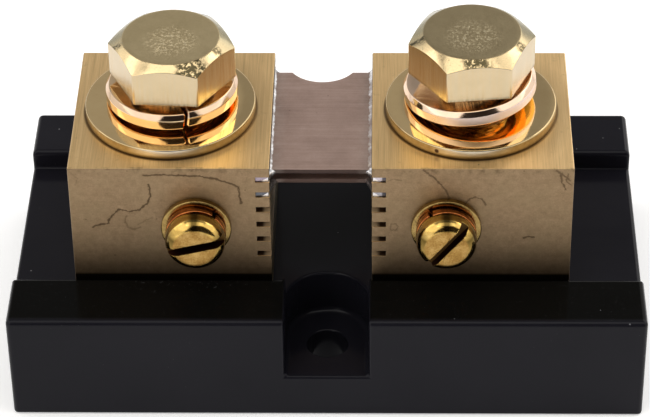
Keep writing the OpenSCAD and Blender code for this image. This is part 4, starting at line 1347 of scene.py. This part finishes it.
# ------------------------------------------------------------------ floor, light and camera

me = bpy.data.meshes.new("floor")
bm = bmesh.new()
bmesh.ops.create_grid(bm, x_segments=8, y_segments=8, size=3.0)
for v in bm.verts:
    v.co.z = -0.00005
bm.to_mesh(me)
bm.free()
floor = bpy.data.objects.new("studio_floor", me)
COLL.objects.link(floor)
dress(floor, mat_floor())

world = bpy.data.worlds.new("studio")
SCENE.world = world
world.use_nodes = True


class Sky(Mat):
    """The same node builder for the world: its coordinates are the direction looked in."""

    def __init__(self, w):
        self.t = w.node_tree
        self.t.nodes.clear()
        out = self.t.nodes.new("ShaderNodeOutputWorld")
        self.b = self.t.nodes.new("ShaderNodeBackground")
        self.t.links.new(self.b.outputs[0], out.inputs[0])
        self.mm = self.t.nodes.new("ShaderNodeTexCoord").outputs["Generated"]


# a bright backdrop near the horizon, a dimmer room above it, dimmest behind the right terminal
sky = Sky(world)
sx_, sy_, sz_ = sky.xyz()
glow = sky.range(sz_, 0.28, 0.44, 1.0, 0.38, smooth=True)
dim = sky.range(sky.math("ABSOLUTE", sky.math("SUBTRACT", sx_, 0.06)), 0.055, 0.10, 1.0, 0.0, smooth=True)
dim = sky.math("MULTIPLY", dim, sky.math("MULTIPLY", sky.range(sy_, 0.0, 0.1), sky.range(sz_, 0.42, 0.50)))
sky.b.inputs[0].default_value = (1.0, 0.985, 0.96, 1.0)
sky.link(sky.math("SUBTRACT", glow, sky.math("MULTIPLY", dim, 0.10)), sky.b.inputs[1])


def area(name, loc, target, sx, sy, power, col=(1, 1, 1)):
    l = bpy.data.lights.new(name, "AREA")
    l.shape = "RECTANGLE"
    l.size, l.size_y = sx, sy
    l.energy = power
    l.color = col
    o = bpy.data.objects.new(name, l)
    COLL.objects.link(o)
    d = Vector(target) - Vector(loc)
    o.location = loc
    o.rotation_euler = d.to_track_quat("-Z", "Y").to_euler()
    return o


area("overhead", (0.0, -0.22, 0.80), (0, 0, 0.02), 0.90, 0.55, 2.0, (1.0, 0.985, 0.95))
def card(name, azimuth, elev, dist, sx, sy, radiance, col):
    """A soft panel seen from the terminals at an azimuth from -Y (positive to the right) and an elevation."""
    a, e = math.radians(azimuth), math.radians(elev)
    loc = (dist * math.cos(e) * math.sin(a), -dist * math.cos(e) * math.cos(a), 0.04 + dist * math.sin(e))
    return area(name, loc, (0, 0, 0.04), sx, sy, math.pi * sx * sy * radiance, col)


card("left_card", -62, 38, 0.60, 0.90, 0.42, 1.1, (1.0, 0.98, 0.96))
card("right_card", 83, 38, 0.60, 0.70, 0.42, 1.0, (1.0, 0.98, 0.96))
card("left_rear_card", -112, 34, 0.60, 0.34, 0.34, 0.8, (1.0, 0.98, 0.96))
card("right_rear_card", 134, 33, 0.60, 0.50, 0.38, 1.4, (1.0, 0.98, 0.96))

# the dark side of the room behind the camera, between the two panels
a0, a1, rd = math.radians(-22), math.radians(51), 0.62
me = bpy.data.meshes.new("dark_side")
me.from_pydata([(rd * math.sin(a0), -rd * math.cos(a0), 0.002), (rd * math.sin(a1), -rd * math.cos(a1), 0.002),
                (rd * math.sin(a1), -rd * math.cos(a1), 0.90), (rd * math.sin(a0), -rd * math.cos(a0), 0.90)], [], [(0, 1, 2, 3)])
dark_side = bpy.data.objects.new("dark_side", me)
COLL.objects.link(dark_side)
DARK = Mat("dark_side")
DARK.set(color=(0.02, 0.017, 0.016), rough=1.0, spec=0.0)
dress(dark_side, DARK.m)
dark_side.visible_camera = False

ELEV, AZ, ROLL = math.radians(37.753), math.radians(-1.521), math.radians(-0.841)
fwd = Vector((math.sin(AZ) * math.cos(ELEV), math.cos(AZ) * math.cos(ELEV), -math.sin(ELEV)))
right = Vector((math.cos(AZ), -math.sin(AZ), 0.0))
up = right.cross(fwd)
r2 = right * math.cos(ROLL) + up * math.sin(ROLL)
u2 = up * math.cos(ROLL) - right * math.sin(ROLL)
cam = bpy.data.cameras.new("camera")
cam.sensor_fit = "HORIZONTAL"
cam.sensor_width = 36.0
cam.lens = 36.0 * 2901.63 / 650.0
cam.clip_start = 0.01
cam.clip_end = 20.0
co = bpy.data.objects.new("camera", cam)
COLL.objects.link(co)
mw = Matrix.Identity(4)
for i, axis in enumerate((r2, u2, -fwd)):
    for j in range(3):
        mw[j][i] = axis[j]
mw[0][3], mw[1][3], mw[2][3] = 0.00835, -0.33537, 0.27770
co.matrix_world = mw
SCENE.camera = co
SCENE.view_settings.view_transform = "Standard"
SCENE.view_settings.look = "None"
SCENE.cycles.glossy_bounces = 8

bpy.context.view_layer.update()
